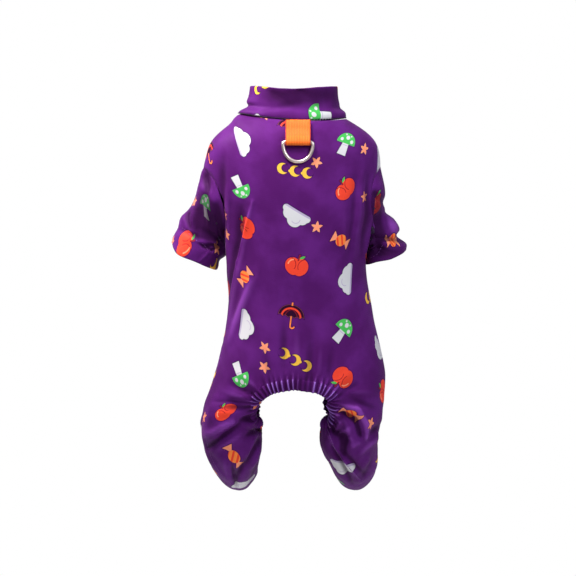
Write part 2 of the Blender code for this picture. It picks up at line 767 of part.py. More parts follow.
def bar_radius():
    return RING_WIRE / 2 + BAR_CLEARANCE + WEBBING_WALL / 2


def ring_pivot():
    """The middle of the ring's bar, inside the loop's fold."""
    place, out = loop_frame(LOOP_DROP + LOOP_LENGTH - bar_radius())
    return place + out * (REST_GAP + WEBBING_WALL / 2 + bar_radius())


def make_loop(material):
    """The webbing loop: down the back, round the ring's bar and up again."""
    steps = 6
    straight = LOOP_LENGTH - 2 * bar_radius()
    inner, outer = [], []
    for i in range(steps + 1):
        share = i / steps
        place, out = loop_frame(LOOP_DROP + straight * share)
        inner.append(place + out * (REST_GAP + WEBBING_WALL / 2))
        spread = WEBBING_WALL + REST_GAP + (2 * bar_radius() - WEBBING_WALL) * share**3
        outer.append(place + out * (REST_GAP + WEBBING_WALL / 2 + spread))
    pivot = ring_pivot()
    _, out = loop_frame(LOOP_DROP + LOOP_LENGTH - bar_radius())
    down = Vector((0, -out.z, out.y))
    if down.z > 0:
        down.negate()
    turn_points = []
    for i in range(1, 12):
        turn = math.radians(-90 + 15 * i)
        turn_points.append(
            pivot + (out * math.sin(turn) + down * math.cos(turn)) * bar_radius()
        )
    path = inner + turn_points + outer[::-1]
    left, right = [], []
    for i, place in enumerate(path):
        ahead = path[min(i + 1, len(path) - 1)] - path[max(i - 1, 0)]
        across = Vector((0, -ahead.z, ahead.y)).normalized() * WEBBING_WALL / 2
        left.append(place + across)
        right.append(place - across)
    mesh = bmesh.new()
    half = Vector((WEBBING_WIDTH / 2, 0, 0))
    rims = []
    for shift in (-half, half):
        rims.append(
            [[mesh.verts.new(p + shift) for p in side] for side in (left, right)]
        )
    (near_left, near_right), (far_left, far_right) = rims
    last = len(path) - 1
    for i in range(last):
        mesh.faces.new((near_left[i], near_left[i + 1], far_left[i + 1], far_left[i]))
        mesh.faces.new((near_right[i], near_right[i + 1], far_right[i + 1], far_right[i]))
        mesh.faces.new((near_left[i], near_left[i + 1], near_right[i + 1], near_right[i]))
        mesh.faces.new((far_left[i], far_left[i + 1], far_right[i + 1], far_right[i]))
    for i in (0, last):
        mesh.faces.new((near_left[i], near_right[i], far_right[i], far_left[i]))
    bmesh.ops.recalc_face_normals(mesh, faces=mesh.faces[:])
    data = bpy.data.meshes.new("leash_loop")
    mesh.to_mesh(data)
    mesh.free()
    make_object("leash_loop", data, material)


def make_ring(material):
    """The D-shaped ring, its bar in the loop's fold, hanging on the back."""
    pivot = ring_pivot()
    low_place, low_out = loop_frame(-pivot.z + RING_DEPTH)
    rest = low_place + low_out * (REST_GAP + RING_WIRE / 2) - pivot
    rest.x = 0
    rest.normalize()
    half = WEBBING_WIDTH / 2 + BAR_CLEARANCE + RING_WIRE / 2
    corner = 0.12 * half
    points = []
    for i in range(5):
        points.append(((half - corner) * (2 * i / 4 - 1), 0))
    for i in range(13):
        turn = math.pi * i / 12
        across = half * math.cos(turn) * (1 + 0.06 * math.sin(turn) ** 2)
        points.append((across, corner + (RING_DEPTH - corner) * math.sin(turn)))
    curve = bpy.data.curves.new("d_ring", "CURVE")
    curve.dimensions = "3D"
    curve.bevel_depth = RING_WIRE / 2
    curve.bevel_resolution = 3
    spline = curve.splines.new("POLY")
    spline.points.add(len(points) - 1)
    spline.use_cyclic_u = True
    for point, (x, drop) in zip(spline.points, points):
        place = Vector((x, 0, 0)) + rest * drop
        point.co = (*place, 1)
    ring = make_object("d_ring", curve, material)
    ring.matrix_world = Matrix.Translation(pivot)


def main():
    clear_scene()
    cloth = make_material("purple_knit", PURPLE, 0.62)
    webbing = make_material("orange_webbing", ORANGE, 0.55)
    steel = make_material("ring_steel", STEEL, 0.30, 1.0)
    make_panels(cloth)
    for side in ("left", "right"):
        make_sleeve(side, cloth)
    make_collar(cloth)
    make_loop(webbing)
    make_ring(steel)


main()
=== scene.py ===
import math

import bmesh
import bpy
import numpy as np
from mathutils import Matrix, Vector
from mathutils.bvhtree import BVHTree
from mathutils.kdtree import KDTree


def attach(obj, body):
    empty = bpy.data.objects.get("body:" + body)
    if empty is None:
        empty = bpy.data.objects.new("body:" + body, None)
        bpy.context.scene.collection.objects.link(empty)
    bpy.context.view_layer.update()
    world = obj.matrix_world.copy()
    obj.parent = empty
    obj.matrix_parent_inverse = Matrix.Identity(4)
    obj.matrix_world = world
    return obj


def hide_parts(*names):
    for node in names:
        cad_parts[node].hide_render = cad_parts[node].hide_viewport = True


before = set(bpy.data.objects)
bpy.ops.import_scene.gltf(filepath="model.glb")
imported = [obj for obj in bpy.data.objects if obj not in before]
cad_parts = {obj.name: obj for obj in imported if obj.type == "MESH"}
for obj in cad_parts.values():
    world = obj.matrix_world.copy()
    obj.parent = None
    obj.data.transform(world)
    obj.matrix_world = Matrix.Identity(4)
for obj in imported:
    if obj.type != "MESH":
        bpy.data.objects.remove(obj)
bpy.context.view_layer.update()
print("frame loaded:", len(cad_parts), "nodes")

sides = ("left", "right")
signs = {"left": -1, "right": 1}
# where x = 0 and z = 0 lie as the back is looked at, in millimetres from the left and the top
seenMiddle = (294, 118.75)

# sizes of the suit in metres, the same as the frame's
suit = {
    "backLength": 0.261,
    "bodyWidth": 0.176,
    "bodyDepth": 0.130,
    "bellyLength": 0.215,
    "seatWidth": 0.088,
    "seatRound": 0.20,
    "seamSaddle": 0.0045,
    "seamLean": 0.0025,
    "armholeHeight": 0.062,
    "armholeDepth": 0.068,
    "armholeDrop": 0.079,
    "armholeAngle": 88,
    "armholeFill": 0.82,
    "armholeSpread": 1.12,
    "sleeveReach": 0.068,
    "cuffWidth": 0.054,
    "legDrop": 0.0915,
    "legWidth": 0.061,
    "legSpread": 0.118,
    "legReach": 0.086,
    "clothWall": 0.0012,
    # level, then how far left, right, back and front lie out, as shares of the width or depth
    "sections": [
        (0.000, 0.318, 0.295, 0.308, 0.323),
        (0.032, 0.390, 0.378, 0.362, 0.395),
        (0.077, 0.470, 0.458, 0.400, 0.446),
        (0.110, 0.492, 0.482, 0.423, 0.485),
        (0.169, 0.502, 0.492, 0.446, 0.520),
        (0.285, 0.475, 0.486, 0.473, 0.562),
        (0.361, 0.430, 0.465, 0.477, 0.569),
        (0.450, 0.400, 0.436, 0.475, 0.558),
        (0.534, 0.386, 0.410, 0.468, 0.530),
        (0.620, 0.384, 0.417, 0.460, 0.496),
        (0.700, 0.372, 0.438, 0.452, 0.464),
        (0.787, 0.386, 0.461, 0.450, 0.430),
        (0.879, 0.413, 0.494, 0.457, 0.405),
        (0.970, 0.449, 0.520, 0.458, 0.400),
        (1.062, 0.491, 0.527, 0.440, 0.400),
        (1.120, 0.516, 0.506, 0.420, 0.400),
    ],
    # along, out, drop, forward, width, lean, tilt, depth
    "sleeveRings": {
        "left": [
            (0.30, 0.03, 0.22, 0.12, 1.01, 29, 2, 0.96),
            (0.58, 0.05, 0.47, 0.28, 0.97, 40, 5, 0.92),
            (0.78, 0.12, 0.62, 0.32, 1.00, 51, 8, 0.88),
            (1.00, 0.27, 0.85, 0.35, 0.99, 60, 10, 0.84),
        ],
        "right": [
            (0.30, -0.01, 0.23, 0.12, 0.95, 16, 2, 0.97),
            (0.58, -0.02, 0.46, 0.28, 0.86, 26, 6, 0.95),
            (0.78, 0.03, 0.63, 0.32, 0.89, 41, 10, 0.92),
            (1.00, 0.09, 0.88, 0.35, 0.83, 69, 13, 0.90),
        ],
    },
    # along, out, forward, drop, width, depth, tilt, half of the ring's gap
    "legRings": {
        "left": [
            (0.22, 1.07, 0.03, 0.40, 0.98, 1.34, 4, 48),
            (0.36, 1.04, 0.09, 0.62, 1.00, 1.16, 18, 34),
            (0.50, 1.03, 0.20, 0.78, 0.92, 1.02, 36, 28),
            (0.64, 1.00, 0.37, 0.88, 0.82, 0.90, 53, 24),
            (0.78, 0.97, 0.60, 0.95, 0.72, 0.79, 64, 24),
            (0.90, 0.95, 0.82, 0.98, 0.65, 0.70, 68, 24),
            (1.00, 0.94, 1.00, 1.00, 0.62, 0.65, 68, 24),
        ],
        "right": [
            (0.22, 1.00, 0.03, 0.40, 0.97, 1.34, 4, 48),
            (0.36, 0.93, 0.09, 0.62, 0.98, 1.16, 18, 34),
            (0.50, 0.95, 0.20, 0.78, 0.92, 1.02, 36, 28),
            (0.64, 1.00, 0.37, 0.88, 0.82, 0.90, 53, 24),
            (0.78, 1.03, 0.60, 0.95, 0.72, 0.79, 64, 24),
            (0.90, 1.04, 0.82, 0.98, 0.65, 0.70, 68, 24),
            (1.00, 1.04, 1.00, 1.00, 0.62, 0.65, 68, 24),
        ],
    },
}

# faces of the sewing cage before it is subdivided
cage = {
    "seat": 6,
    "back": 6,
    "armhole": 8,
    "side": 4,
    "belly": 4,
    "shoulderRows": 4,
    "armholeRows": 8,
    "flankRows": 15,
    "gusset": 4,
    "sleeveRows": 10,
    "legRows": 18,
    "crotchRow": 5,
}
cage["half"] = sum(cage[k] for k in ("seat", "back", "armhole", "side", "belly"))
cage["hip"] = cage["back"] + cage["armhole"] + cage["side"]
cage["rows"] = cage["shoulderRows"] + cage["armholeRows"] + cage["flankRows"]

# where the cuts lie on the flat print, in metres, and how much of a leg's length its print covers
patternLook = {"down": 0.016, "bellyAcross": 0.4135, "bellyDown": 0.017, "legFall": 0.92}


def splineValue(knots, values, x):
    last = len(knots) - 2
    i = max(0, min(last, sum(1 for k in knots[1:-1] if k <= x)))
    k0, k1 = knots[i], knots[i + 1]
    v0, v1 = values[i], values[i + 1]
    step = k1 - k0
    slope0 = (v1 - values[i - 1]) / (k1 - knots[i - 1]) if i > 0 else (v1 - v0) / step
    slope1 = (values[i + 2] - v0) / (knots[i + 2] - k0) if i < last else (v1 - v0) / step
    t = (x - k0) / step
    return (
        v0 * (2 * t**3 - 3 * t**2 + 1)
        + slope0 * (step * (t**3 - 2 * t**2 + t))
        + v1 * (3 * t**2 - 2 * t**3)
        + slope1 * (step * (t**3 - t**2))
    )


def seamHeight(angle):
    turn = math.sin(math.radians(angle))
    return suit["seamSaddle"] * (turn**2 - 0.5) - suit["seamLean"] * turn


def seatAngle():
    return math.degrees(math.asin(suit["seatWidth"] / suit["bodyWidth"]))


def endHeight(angle):
    corner = seatAngle()
    knots = [0, 0.7 * corner, corner, 90, 180 - corner, 180 - 0.6 * corner, 180]
    cornerDrop = suit["seatRound"] * suit["seatWidth"]
    back, belly = -suit["backLength"], -suit["bellyLength"]
    drops = [
        back,
        back - 0.35 * cornerDrop,
        back - cornerDrop,
        (back + belly) / 2 - cornerDrop,
        belly - cornerDrop,
        belly - 0.25 * cornerDrop,
        belly,
    ]
    return splineValue(knots, drops, abs(angle))


def bodyPoint(angle, height):
    rows = suit["sections"]
    levels = [row[0] for row in rows]
    level = -height / suit["backLength"]
    turn = math.radians(angle)
    side = 2 if angle > 0 else 1
    face = 3 if abs(angle) < 90 else 4
    width = splineValue(levels, [row[side] for row in rows], level)
    depth = splineValue(levels, [row[face] for row in rows], level)
    x = width * suit["bodyWidth"] * math.sin(turn)
    return Vector((x, -depth * suit["bodyDepth"] * math.cos(turn), height))


def bodyAngles():
    reach = suit["armholeDepth"] / suit["armholeFill"] / suit["bodyWidth"]
    block = math.degrees(reach) * suit["armholeSpread"]
    middle, seat = suit["armholeAngle"], seatAngle()
    stops = [
        (0, seat, cage["seat"]),
        (seat, middle - block, cage["back"]),
        (middle - block, middle + block, cage["armhole"]),
        (middle + block, 180 - seat, cage["side"]),
        (180 - seat, 180, cage["belly"]),
    ]
    half = [a + (b - a) * i / n for a, b, n in stops for i in range(n)] + [180]
    return [-a for a in reversed(half)] + half[1:]


def bodyHeights(angle):
    top, bottom = seamHeight(angle), endHeight(angle)
    block = suit["armholeHeight"] / 2 / suit["armholeFill"]
    drop = suit["armholeDrop"]
    stops = [
        (top, -drop + block, cage["shoulderRows"]),
        (-drop + block, -drop - block, cage["armholeRows"]),
        (-drop - block, bottom, cage["flankRows"]),
    ]
    return [a + (b - a) * i / n for a, b, n in stops for i in range(n)] + [bottom]


def walkAlong(places):
    # how far each place is along a path
    walked = [0.0]
    for a, b in zip(places, places[1:]):
        walked.append(walked[-1] + (b - a).length)
    return walked


def flatPlace(angle, height):
    # across the cloth from the middle of the back, and down it from the collar seam
    steps = 8
    top = seamHeight(angle)
    level = [bodyPoint(angle * i / steps, height) for i in range(steps + 1)]
    fall = [bodyPoint(angle, top + (height - top) * i / steps) for i in range(steps + 1)]
    across, down = walkAlong(level)[-1], walkAlong(fall)[-1]
    return math.copysign(across, angle), -down - patternLook["down"]


def bellyPlace(angle, height):
    # the belly is cut by itself, so its pattern is measured from its own middle
    across, down = flatPlace(angle, height)
    away, _ = flatPlace(math.copysign(180, angle), height)
    return patternLook["bellyAcross"] + across - away, down - patternLook["bellyDown"]


def columnAt(side, columnsOut):
    return cage["half"] + (columnsOut if side == "right" else -columnsOut)


def blockBorder(column, row):
    right, bottom = column + cage["armhole"], row + cage["armholeRows"]
    return (
        [(c, row) for c in range(column, right)]
        + [(right, r) for r in range(row, bottom)]
        + [(c, bottom) for c in range(right, column, -1)]
        + [(column, r) for r in range(bottom, row, -1)]
    )


def armholeRing(side):
    # (turn from the top towards the back, angle, height, place)
    middle = suit["armholeAngle"]
    block = math.degrees(suit["armholeDepth"] / suit["bodyWidth"]) * suit["armholeSpread"]
    ring = []
    for column, row in blockBorder(0, 0):
        across = 2 * column / cage["armhole"] - 1
        down = 2 * row / cage["armholeRows"] - 1
        turn = math.atan2(-across, -down)
        angle = middle - block * math.sin(turn)
        height = -suit["armholeDrop"] + suit["armholeHeight"] / 2 * math.cos(turn)
        angle = angle if side == "right" else -angle
        ring.append((turn, angle, height, bodyPoint(angle, height)))
    return ring


def addGrid(mesh, columns, rows):
    made = bmesh.ops.create_grid(mesh, x_segments=columns, y_segments=rows, size=0.5)
    return {
        (round((v.co.x + 0.5) * columns), round((0.5 - v.co.y) * rows)): v for v in made["verts"]
    }


def drawPattern(mesh, faces, flats):
    # writes the flat pattern, in metres, at the corners of faces
    layer = mesh.loops.layers.uv.get("flat") or mesh.loops.layers.uv.new("flat")
    for face in faces:
        for loop in face.loops:
            if loop.vert in flats:
                loop[layer].uv = flats[loop.vert]


def joinSides(mesh, vertices, last):
    rows = [row for (column, row) in vertices if column == last and (0, row) in vertices]
    pairs = {
        vertices[last, row]: vertices[0, row]
        for row in rows
        if vertices[last, row] is not vertices[0, row]
    }
    bmesh.ops.weld_verts(mesh, targetmap=pairs)
    for row in rows:
        vertices[last, row] = vertices[0, row]


def faceOutwards(mesh, inside):
    bmesh.ops.recalc_face_normals(mesh, faces=mesh.faces[:])
    out = sum((f.calc_center_median() - inside).dot(f.normal) * f.calc_area() for f in mesh.faces)
    if out < 0:
        bmesh.ops.reverse_faces(mesh, faces=mesh.faces[:])
    mesh.normal_update()


def addBody(mesh):
    angles = bodyAngles()
    columns = len(angles) - 1
    vertices = addGrid(mesh, columns, cage["rows"])
    flats, belly = {}, {}
    for (column, row), vertex in vertices.items():
        angle = angles[column]
        height = bodyHeights(angle)[row]
        vertex.co = bodyPoint(angle, height)
        flats[vertex] = flatPlace(angle, height)
        if abs(angle) > 179.9 - seatAngle():
            belly[vertex] = bellyPlace(angle, height)
    drawPattern(mesh, mesh.faces, flats)
    drawPattern(mesh, [f for f in mesh.faces if all(v in belly for v in f.verts)], belly)
    joinSides(mesh, vertices, columns)
    return vertices


def cutArmhole(mesh, vertices, side):
    first = (cage["seat"] + cage["back"], cage["shoulderRows"])
    block = {
        vertices[columnAt(side, column), row]
        for column in range(first[0], first[0] + cage["armhole"] + 1)
        for row in range(first[1], first[1] + cage["armholeRows"] + 1)
    }
    angles = bodyAngles()
    border, flats = [], {}
    for column, row in blockBorder(*first):
        at = columnAt(side, column)
        border.append(vertices[at, row])
        flats[border[-1]] = flatPlace(angles[at], bodyHeights(angles[at])[row])
    gone = [face for face in mesh.faces if all(v in block for v in face.verts)]
    bmesh.ops.delete(mesh, geom=gone, context="FACES")
    ring = []
    for _, angle, height, place in armholeRing(side):
        ring.append(mesh.verts.new(place))
        flats[ring[-1]] = flatPlace(angle, height)
    made = []
    for i, vertex in enumerate(ring):
        after = (i + 1) % len(ring)
        made.append(mesh.faces.new((border[i], border[after], ring[after], vertex)))
    drawPattern(mesh, made, flats)


def legRingPoint(ring, sign, turn):
    _, out, forward, drop, width, depth, tilt, _ = ring
    x, z = sign * out * suit["legSpread"] / 2, -suit["backLength"] - drop * suit["legDrop"]
    centre = Vector((x, forward * suit["legReach"], z))
    lean, turn = math.radians(tilt), math.radians(turn)
    inner = Vector((-sign, 0, 0)) * math.cos(turn) * width
    behind = Vector((0, -math.cos(lean), -math.sin(lean))) * math.sin(turn) * depth
    return centre + (inner + behind) * suit["legWidth"] / 2


def addLeg(mesh, body, side):
    rings, sign = suit["legRings"][side], signs[side]
    hip, columns, rows = cage["hip"], cage["hip"] + cage["gusset"], cage["legRows"]
    angles = bodyAngles()
    hipColumns = [columnAt(side, cage["seat"] + i) for i in range(hip + 1)]
    above = [body[column, cage["rows"] - 1].co.copy() for column in hipColumns]
    start = [body[column, cage["rows"]].co.copy() for column in hipColumns]
    vertices = addGrid(mesh, columns, rows)
    faces = list({face for vertex in vertices.values() for face in vertex.link_faces})
    legLength = suit["legDrop"] + suit["legReach"]
    hipStep = (start[0] - above[0]).length / legLength
    knots = [-hipStep, 0.0] + [ring[0] for ring in rings]
    for (column, row), vertex in vertices.items():
        places = []
        for ring in rings:
            gap = ring[7]
            if column <= hip:
                turn = gap + (360 - 2 * gap) * column / hip
            else:
                turn = gap * (2 * (column - hip) / cage["gusset"] - 1)
            places.append(legRingPoint(ring, sign, turn))
        if column <= hip:
            starts = [above[column], start[column]]
        else:
            starts = [start[-1].lerp(start[0], (column - hip) / cage["gusset"])] * 2
        vertex.co = splineValue(knots, starts + places, row / rows)
    middle = hip // 2
    hipFlat = [flatPlace(angles[c], place.z) for c, place in zip(hipColumns, start)]
    middleU = hipFlat[middle][0]
    flats = {}
    for row in range(rows + 1):
        fall = patternLook["legFall"] * legLength * row / rows
        places = [vertices[column, row].co for column in range(columns + 1)]
        behind, ahead = walkAlong(places[middle::-1]), walkAlong(places[middle:])
        walked = [-far for far in reversed(behind[1:])] + ahead
        for column in range(columns + 1):
            top = hipFlat[min(column, hip)][1]
            flats[vertices[column, row]] = (middleU + sign * walked[column], top - fall)
    drawPattern(mesh, faces, flats)
    hole = {
        vertices[column, row]
        for column in range(hip, columns + 1)
        for row in range(cage["crotchRow"] + 1)
    }
    gone = [face for face in faces if all(v in hole for v in face.verts)]
    bmesh.ops.delete(mesh, geom=gone, context="FACES")
    vertices = {key: vertex for key, vertex in vertices.items() if vertex.is_valid}
    joinSides(mesh, vertices, columns)
    joins = {vertices[i, 0]: body[column, cage["rows"]] for i, column in enumerate(hipColumns)}
    bmesh.ops.weld_verts(mesh, targetmap=joins)


def newObject(name, mesh, materials):
    data = bpy.data.meshes.new(name)
    mesh.to_mesh(data)
    mesh.free()
    obj = bpy.data.objects.new(name, data)
    bpy.context.scene.collection.objects.link(obj)
    for material in materials:
        data.materials.append(material)
    data.shade_smooth()
    return obj


def applyModifiers(obj):
    view = bpy.context.evaluated_depsgraph_get()
    data = bpy.data.meshes.new_from_object(obj.evaluated_get(view), depsgraph=view)
    old = obj.data
    obj.modifiers.clear()
    obj.data = data
    data.name = obj.name
    bpy.data.meshes.remove(old)


def subdivide(obj, levels):
    modifier = obj.modifiers.new("smooth", "SUBSURF")
    modifier.levels = modifier.render_levels = levels
    applyModifiers(obj)


def readPlaces(data):
    places = np.empty(len(data.vertices) * 3)
    data.vertices.foreach_get("co", places)
    return places.reshape(-1, 3)


def readNormals(data):
    normals = np.empty(len(data.vertices) * 3)
    data.vertex_normals.foreach_get("vector", normals)
    return normals.reshape(-1, 3)


def writePlaces(data, places):
    data.vertices.foreach_set("co", places.ravel())
    data.update()


foldLook = {
    # how a crease starts, runs and tapers to its ends
    "taper": (0.12, 0.76, 0.7),
    # strength and least share of a fold on cloth that turns away from where it is looked at from
    "facing": (2.2, 0.35),
    # millimetres in or out that give the full painted shade or painted highlight
    "tone": (3.0, 3.6),
    # slack waves: shortest and longest in millimetres, how many, and how much they wander
    "slack": (11, 30, 14, 1.3),
    # creases and cloth that count as near for finer cells
    "near": (0.2, 0.4),
}


def creaseHeight(x, y, creases):
    # creases are rows of x1, y1, x2, y2, width and rise in millimetres, as the back is looked at
    start, length, power = foldLook["taper"]
    height = np.zeros(len(x))
    for x1, y1, x2, y2, width, rise in creases:
        dx, dy = x2 - x1, y2 - y1
        run = dx * dx + dy * dy
        along = ((x - x1) * dx + (y - y1) * dy) / run
        inside = np.clip(along, 0, 1)
        away = np.hypot(x - x1 - inside * dx, y - y1 - inside * dy)
        taper = np.sin(np.pi * (start + length * inside)) ** power
        height += rise * taper * np.exp(-((away / width) ** 2))
    return height


def fanHeight(x, y, fans):
    # fans are rows of x, y, first and last way in degrees, folds, near and far end, and rise
    height = np.zeros(len(x))
    for centreX, centreY, first, last, folds, near, far, rise in fans:
        away = np.hypot(x - centreX, y - centreY)
        way = np.degrees(np.arctan2(y - centreY, x - centreX))
        turn = (way - first) % 360 / (last - first)
        side = np.clip(np.minimum(turn, 1 - turn) * 6, 0, 1)
        reach = np.clip(away / (near * 0.5) - 1, 0, 1) * np.clip((far - away) / (far - near), 0, 1)
        bend = 0.35 * np.sin(away / 9 + centreX)
        wave = np.cos(2 * np.pi * folds * turn + bend) + 0.25 * np.cos(4 * np.pi * folds * turn + 1)
        height += rise * side * reach**1.3 * wave
    return height


def seenFromBack(places):
    # x and y of places as the back is looked at, in millimetres
    return seenMiddle[0] + places[:, 0] * 1000, seenMiddle[1] - places[:, 2] * 1000


def paintFoldLightAndShade(data, values):
    # keeps how far the cloth is folded in (below 0) or out (above 0), for painted shade in the
    # folds and painted highlight on their ridges
    layer = data.attributes.get("fold") or data.attributes.new("fold", "FLOAT", "POINT")
    folds = np.zeros(len(data.vertices))
    layer.data.foreach_get("value", folds)
    layer.data.foreach_set("value", np.clip(folds + values, -1, 1))


def pressCreases(obj, creases, fans=(), facing=-1):
    places, normals = readPlaces(obj.data), readNormals(obj.data)
    x, y = seenFromBack(places)
    strength, least = foldLook["facing"]
    seen = np.clip(facing * normals[:, 1] * strength + least, 0, 1)
    rise = (creaseHeight(x, y, creases) + fanHeight(x, y, fans)) * seen
    writePlaces(obj.data, places + normals * rise[:, None] * 0.001)
    # painted shade in the creases and painted highlight on their ridges
    fullIn, fullOut = foldLook["tone"]
    paintFoldLightAndShade(obj.data, np.where(rise < 0, rise / fullIn, rise / fullOut))


def nudgeCloth(obj, moves):
    # moves are rows of x, y, radius, and the way right and down, in millimetres
    places = readPlaces(obj.data)
    x, y = seenFromBack(places)
    for centreX, centreY, radius, right, down in moves:
        share = np.exp(-((x - centreX) ** 2 + (y - centreY) ** 2) / radius**2)
        places[:, 0] += share * right * 0.001
        places[:, 2] -= share * down * 0.001
    writePlaces(obj.data, places)


def slackCloth(obj, zones, seed):
    # the uneven lie of knit: waves in random ways, where the cloth is slack
    # zones are rows of height below the collar seam and rise, both in millimetres
    shortest, longest, waves, wander = foldLook["slack"]
    places, normals = readPlaces(obj.data), readNormals(obj.data)
    draw = np.random.default_rng(seed)
    wave = np.zeros(len(places))
    for length in np.linspace(shortest, longest, waves):
        way = unit(draw.normal(size=(1, 3)) * (1, 1, 0.7))[0]
        phase = draw.uniform(0, 2 * np.pi)
        swing = wander * np.sin(places @ way[[2, 0, 1]] * 90 + phase)
        wave += np.sin(places @ way * (2000 * np.pi / length) + phase + swing) * length / 60
    below = -places[:, 2] * 1000
    rise = np.interp(below, [z[0] for z in zones], [z[1] for z in zones]) * 0.001
    writePlaces(obj.data, places + normals * (wave * rise)[:, None])


def unit(values):
    return values / np.linalg.norm(values, axis=1, keepdims=True)


def borderLoops(data):
    # each open border as vertex numbers in order
    mesh = bmesh.new()
    mesh.from_mesh(data)
    mesh.verts.ensure_lookup_table()
    mesh.edges.ensure_lookup_table()
    left = {e.index for e in mesh.edges if e.is_boundary}
    loops = []
    while left:
        edge = mesh.edges[min(left)]
        left.discard(edge.index)
        loop = [edge.verts[0].index, edge.verts[1].index]
        while True:
            vertex = mesh.verts[loop[-1]]
            edge = next((e for e in vertex.link_edges if e.index in left), None)
            if edge is None:
                break
            left.discard(edge.index)
            loop.append(edge.other_vert(vertex).index)
        loops.append(loop[:-1] if loop[0] == loop[-1] else loop)
    mesh.free()
    return loops


def paint(red, green, blue):
    return tuple(((c / 255 + 0.055) / 1.055) ** 2.4 for c in (red, green, blue)) + (1,)


def treeOf(*values):
    return next(value.id_data for value in values if isinstance(value, bpy.types.NodeSocket))


def plug(socket, value):
    # sets a constant on an input, or links an output to it
    if isinstance(value, (int, float, tuple)):
        socket.default_value = value
    else:
        socket.id_data.links.new(value, socket)


def setInputs(node, values):
    for label, value in values.items():
        plug(node.inputs[label], value)


def addMath(operation, *values):
    node = treeOf(*values).nodes.new("ShaderNodeMath")
    node.operation = operation
    for socket, value in zip(node.inputs, values):
        plug(socket, value)
    return node.outputs[0]


def plus(first, second):
    return addMath("ADD", first, second)


def minus(first, second):
    return addMath("SUBTRACT", first, second)


def times(first, second):
    return addMath("MULTIPLY", first, second)


def larger(first, second):
    return addMath("MAXIMUM", first, second)


def absolute(value):
    return addMath("ABSOLUTE", value)


def addMix(factor, first, second):
    values = (factor, first, second)
    node = treeOf(*values).nodes.new("ShaderNodeMix")
    node.data_type = "RGBA"
    for socket, value in zip([s for s in node.inputs if s.enabled], values):
        plug(socket, value)
    return next(s for s in node.outputs if s.enabled)


def addRamp(value, low, high):
    # 0 below low, 1 above high, smooth between
    node = treeOf(value).nodes.new("ShaderNodeMapRange")
    node.interpolation_type = "SMOOTHSTEP"
    setInputs(node, {"Value": value, "From Min": low, "From Max": high})
    return node.outputs["Result"]


def addNoise(where, scale, detail=2.0):
    node = treeOf(where).nodes.new("ShaderNodeTexNoise")
    setInputs(node, {"Vector": where, "Scale": scale, "Detail": detail})
    return node.outputs["Fac"]


def addBump(height, distance, strength):
    node = treeOf(height).nodes.new("ShaderNodeBump")
    setInputs(node, {"Height": height, "Distance": distance, "Strength": strength})
    return node.outputs[0]


def addUv(tree, name):
    node = tree.nodes.new("ShaderNodeUVMap")
    node.uv_map = name
    return node.outputs[0]


def splitVector(value):
    node = treeOf(value).nodes.new("ShaderNodeSeparateXYZ")
    plug(node.inputs[0], value)
    return node.outputs


def joinVector(tree, *values):
    node = tree.nodes.new("ShaderNodeCombineXYZ")
    for socket, value in zip(node.inputs, values):
        plug(socket, value)
    return node.outputs[0]


def newGroup(name, inputs, outputs):
    group = bpy.data.node_groups.new(name, "ShaderNodeTree")
    for label, kind, value in inputs:
        socket = group.interface.new_socket(label, in_out="INPUT", socket_type=kind)
        if value is not None:
            socket.default_value = value
    for label, kind in outputs:
        group.interface.new_socket(label, in_out="OUTPUT", socket_type=kind)
    given, result = (group.nodes.new(kind) for kind in ("NodeGroupInput", "NodeGroupOutput"))
    return group, given.outputs, result.inputs


def placeGroup(tree, group, **values):
    node = tree.nodes.new("ShaderNodeGroup")
    node.node_tree = group
    setInputs(node, values)
    return node.outputs


# sizes in millimetres, on the flat pattern
printLook = {
    "cellWidth": 53.0,
    "cellHeight": 47.0,
    "wander": 8.0,
    "scale": 0.9,
    "cloudScale": 0.92,
    # points, outer radius, depth between the points, and how sharp they are
    "star": (5, 7.0, 4.2, 0.8),
    "starless": 0.86,
    "edge": 0.3,
    "rimWidth": 0.9,
    "rimShare": 0.7,
    "rim": paint(38, 10, 56),
    "white": paint(196, 196, 199),
    "shade": paint(168, 156, 184),
    "red": paint(222, 66, 44),
    "darkRed": paint(122, 26, 34),
    "salmon": paint(236, 144, 108),
    "green": paint(66, 172, 78),
    "yellow": paint(232, 180, 66),
    "orange": paint(240, 128, 58),
    "dark": paint(40, 12, 36),
}


def softMask(distance):
    # 1 inside a shape (distance below 0), 0 outside
    return minus(1.0, addRamp(distance, -printLook["edge"], printLook["edge"]))


def hypot(x, y):
    return addMath("SQRT", plus(times(x, x), times(y, y)))


def disc(x, y, centreX, centreY, radius, squeeze=1.0):
    return minus(hypot(minus(x, centreX), times(minus(y, centreY), squeeze)), radius)


def box(x, y, centreX, centreY, halfX, halfY):
    across, up = absolute(minus(x, centreX)), absolute(minus(y, centreY))
    return larger(minus(across, halfX), minus(up, halfY))


def edgeLine(shape, half):
    return minus(absolute(shape), half)


def within(shape, *limits):
    # a shape cut off where a limit is above 0
    for limit in limits:
        shape = larger(shape, limit)
    return shape


def nearest(shapes, blend=0.0):
    distance = shapes[0]
    for shape in shapes[1:]:
        if blend:
            distance = addMath("SMOOTH_MIN", distance, shape, blend)
        else:
            distance = addMath("MINIMUM", distance, shape)
    return distance


def paintOver(colour, *coats):
    # paints coats, given as shape and colour, one over the other
    for shape, coat in coats:
        colour = addMix(softMask(shape), colour, coat)
    return colour


def starReach(x, y, points, outer, depth, power):
    # how far a pointed shape reaches from its middle in the way of x, y
    share = addMath("DIVIDE", addMath("ARCTAN2", x, y), 2 * math.pi / points)
    share = addMath("FRACT", plus(share, points * 2 + 0.5))
    tip = absolute(minus(share, 0.5))
    return minus(outer, times(addMath("POWER", times(tip, 2.0), power), depth))


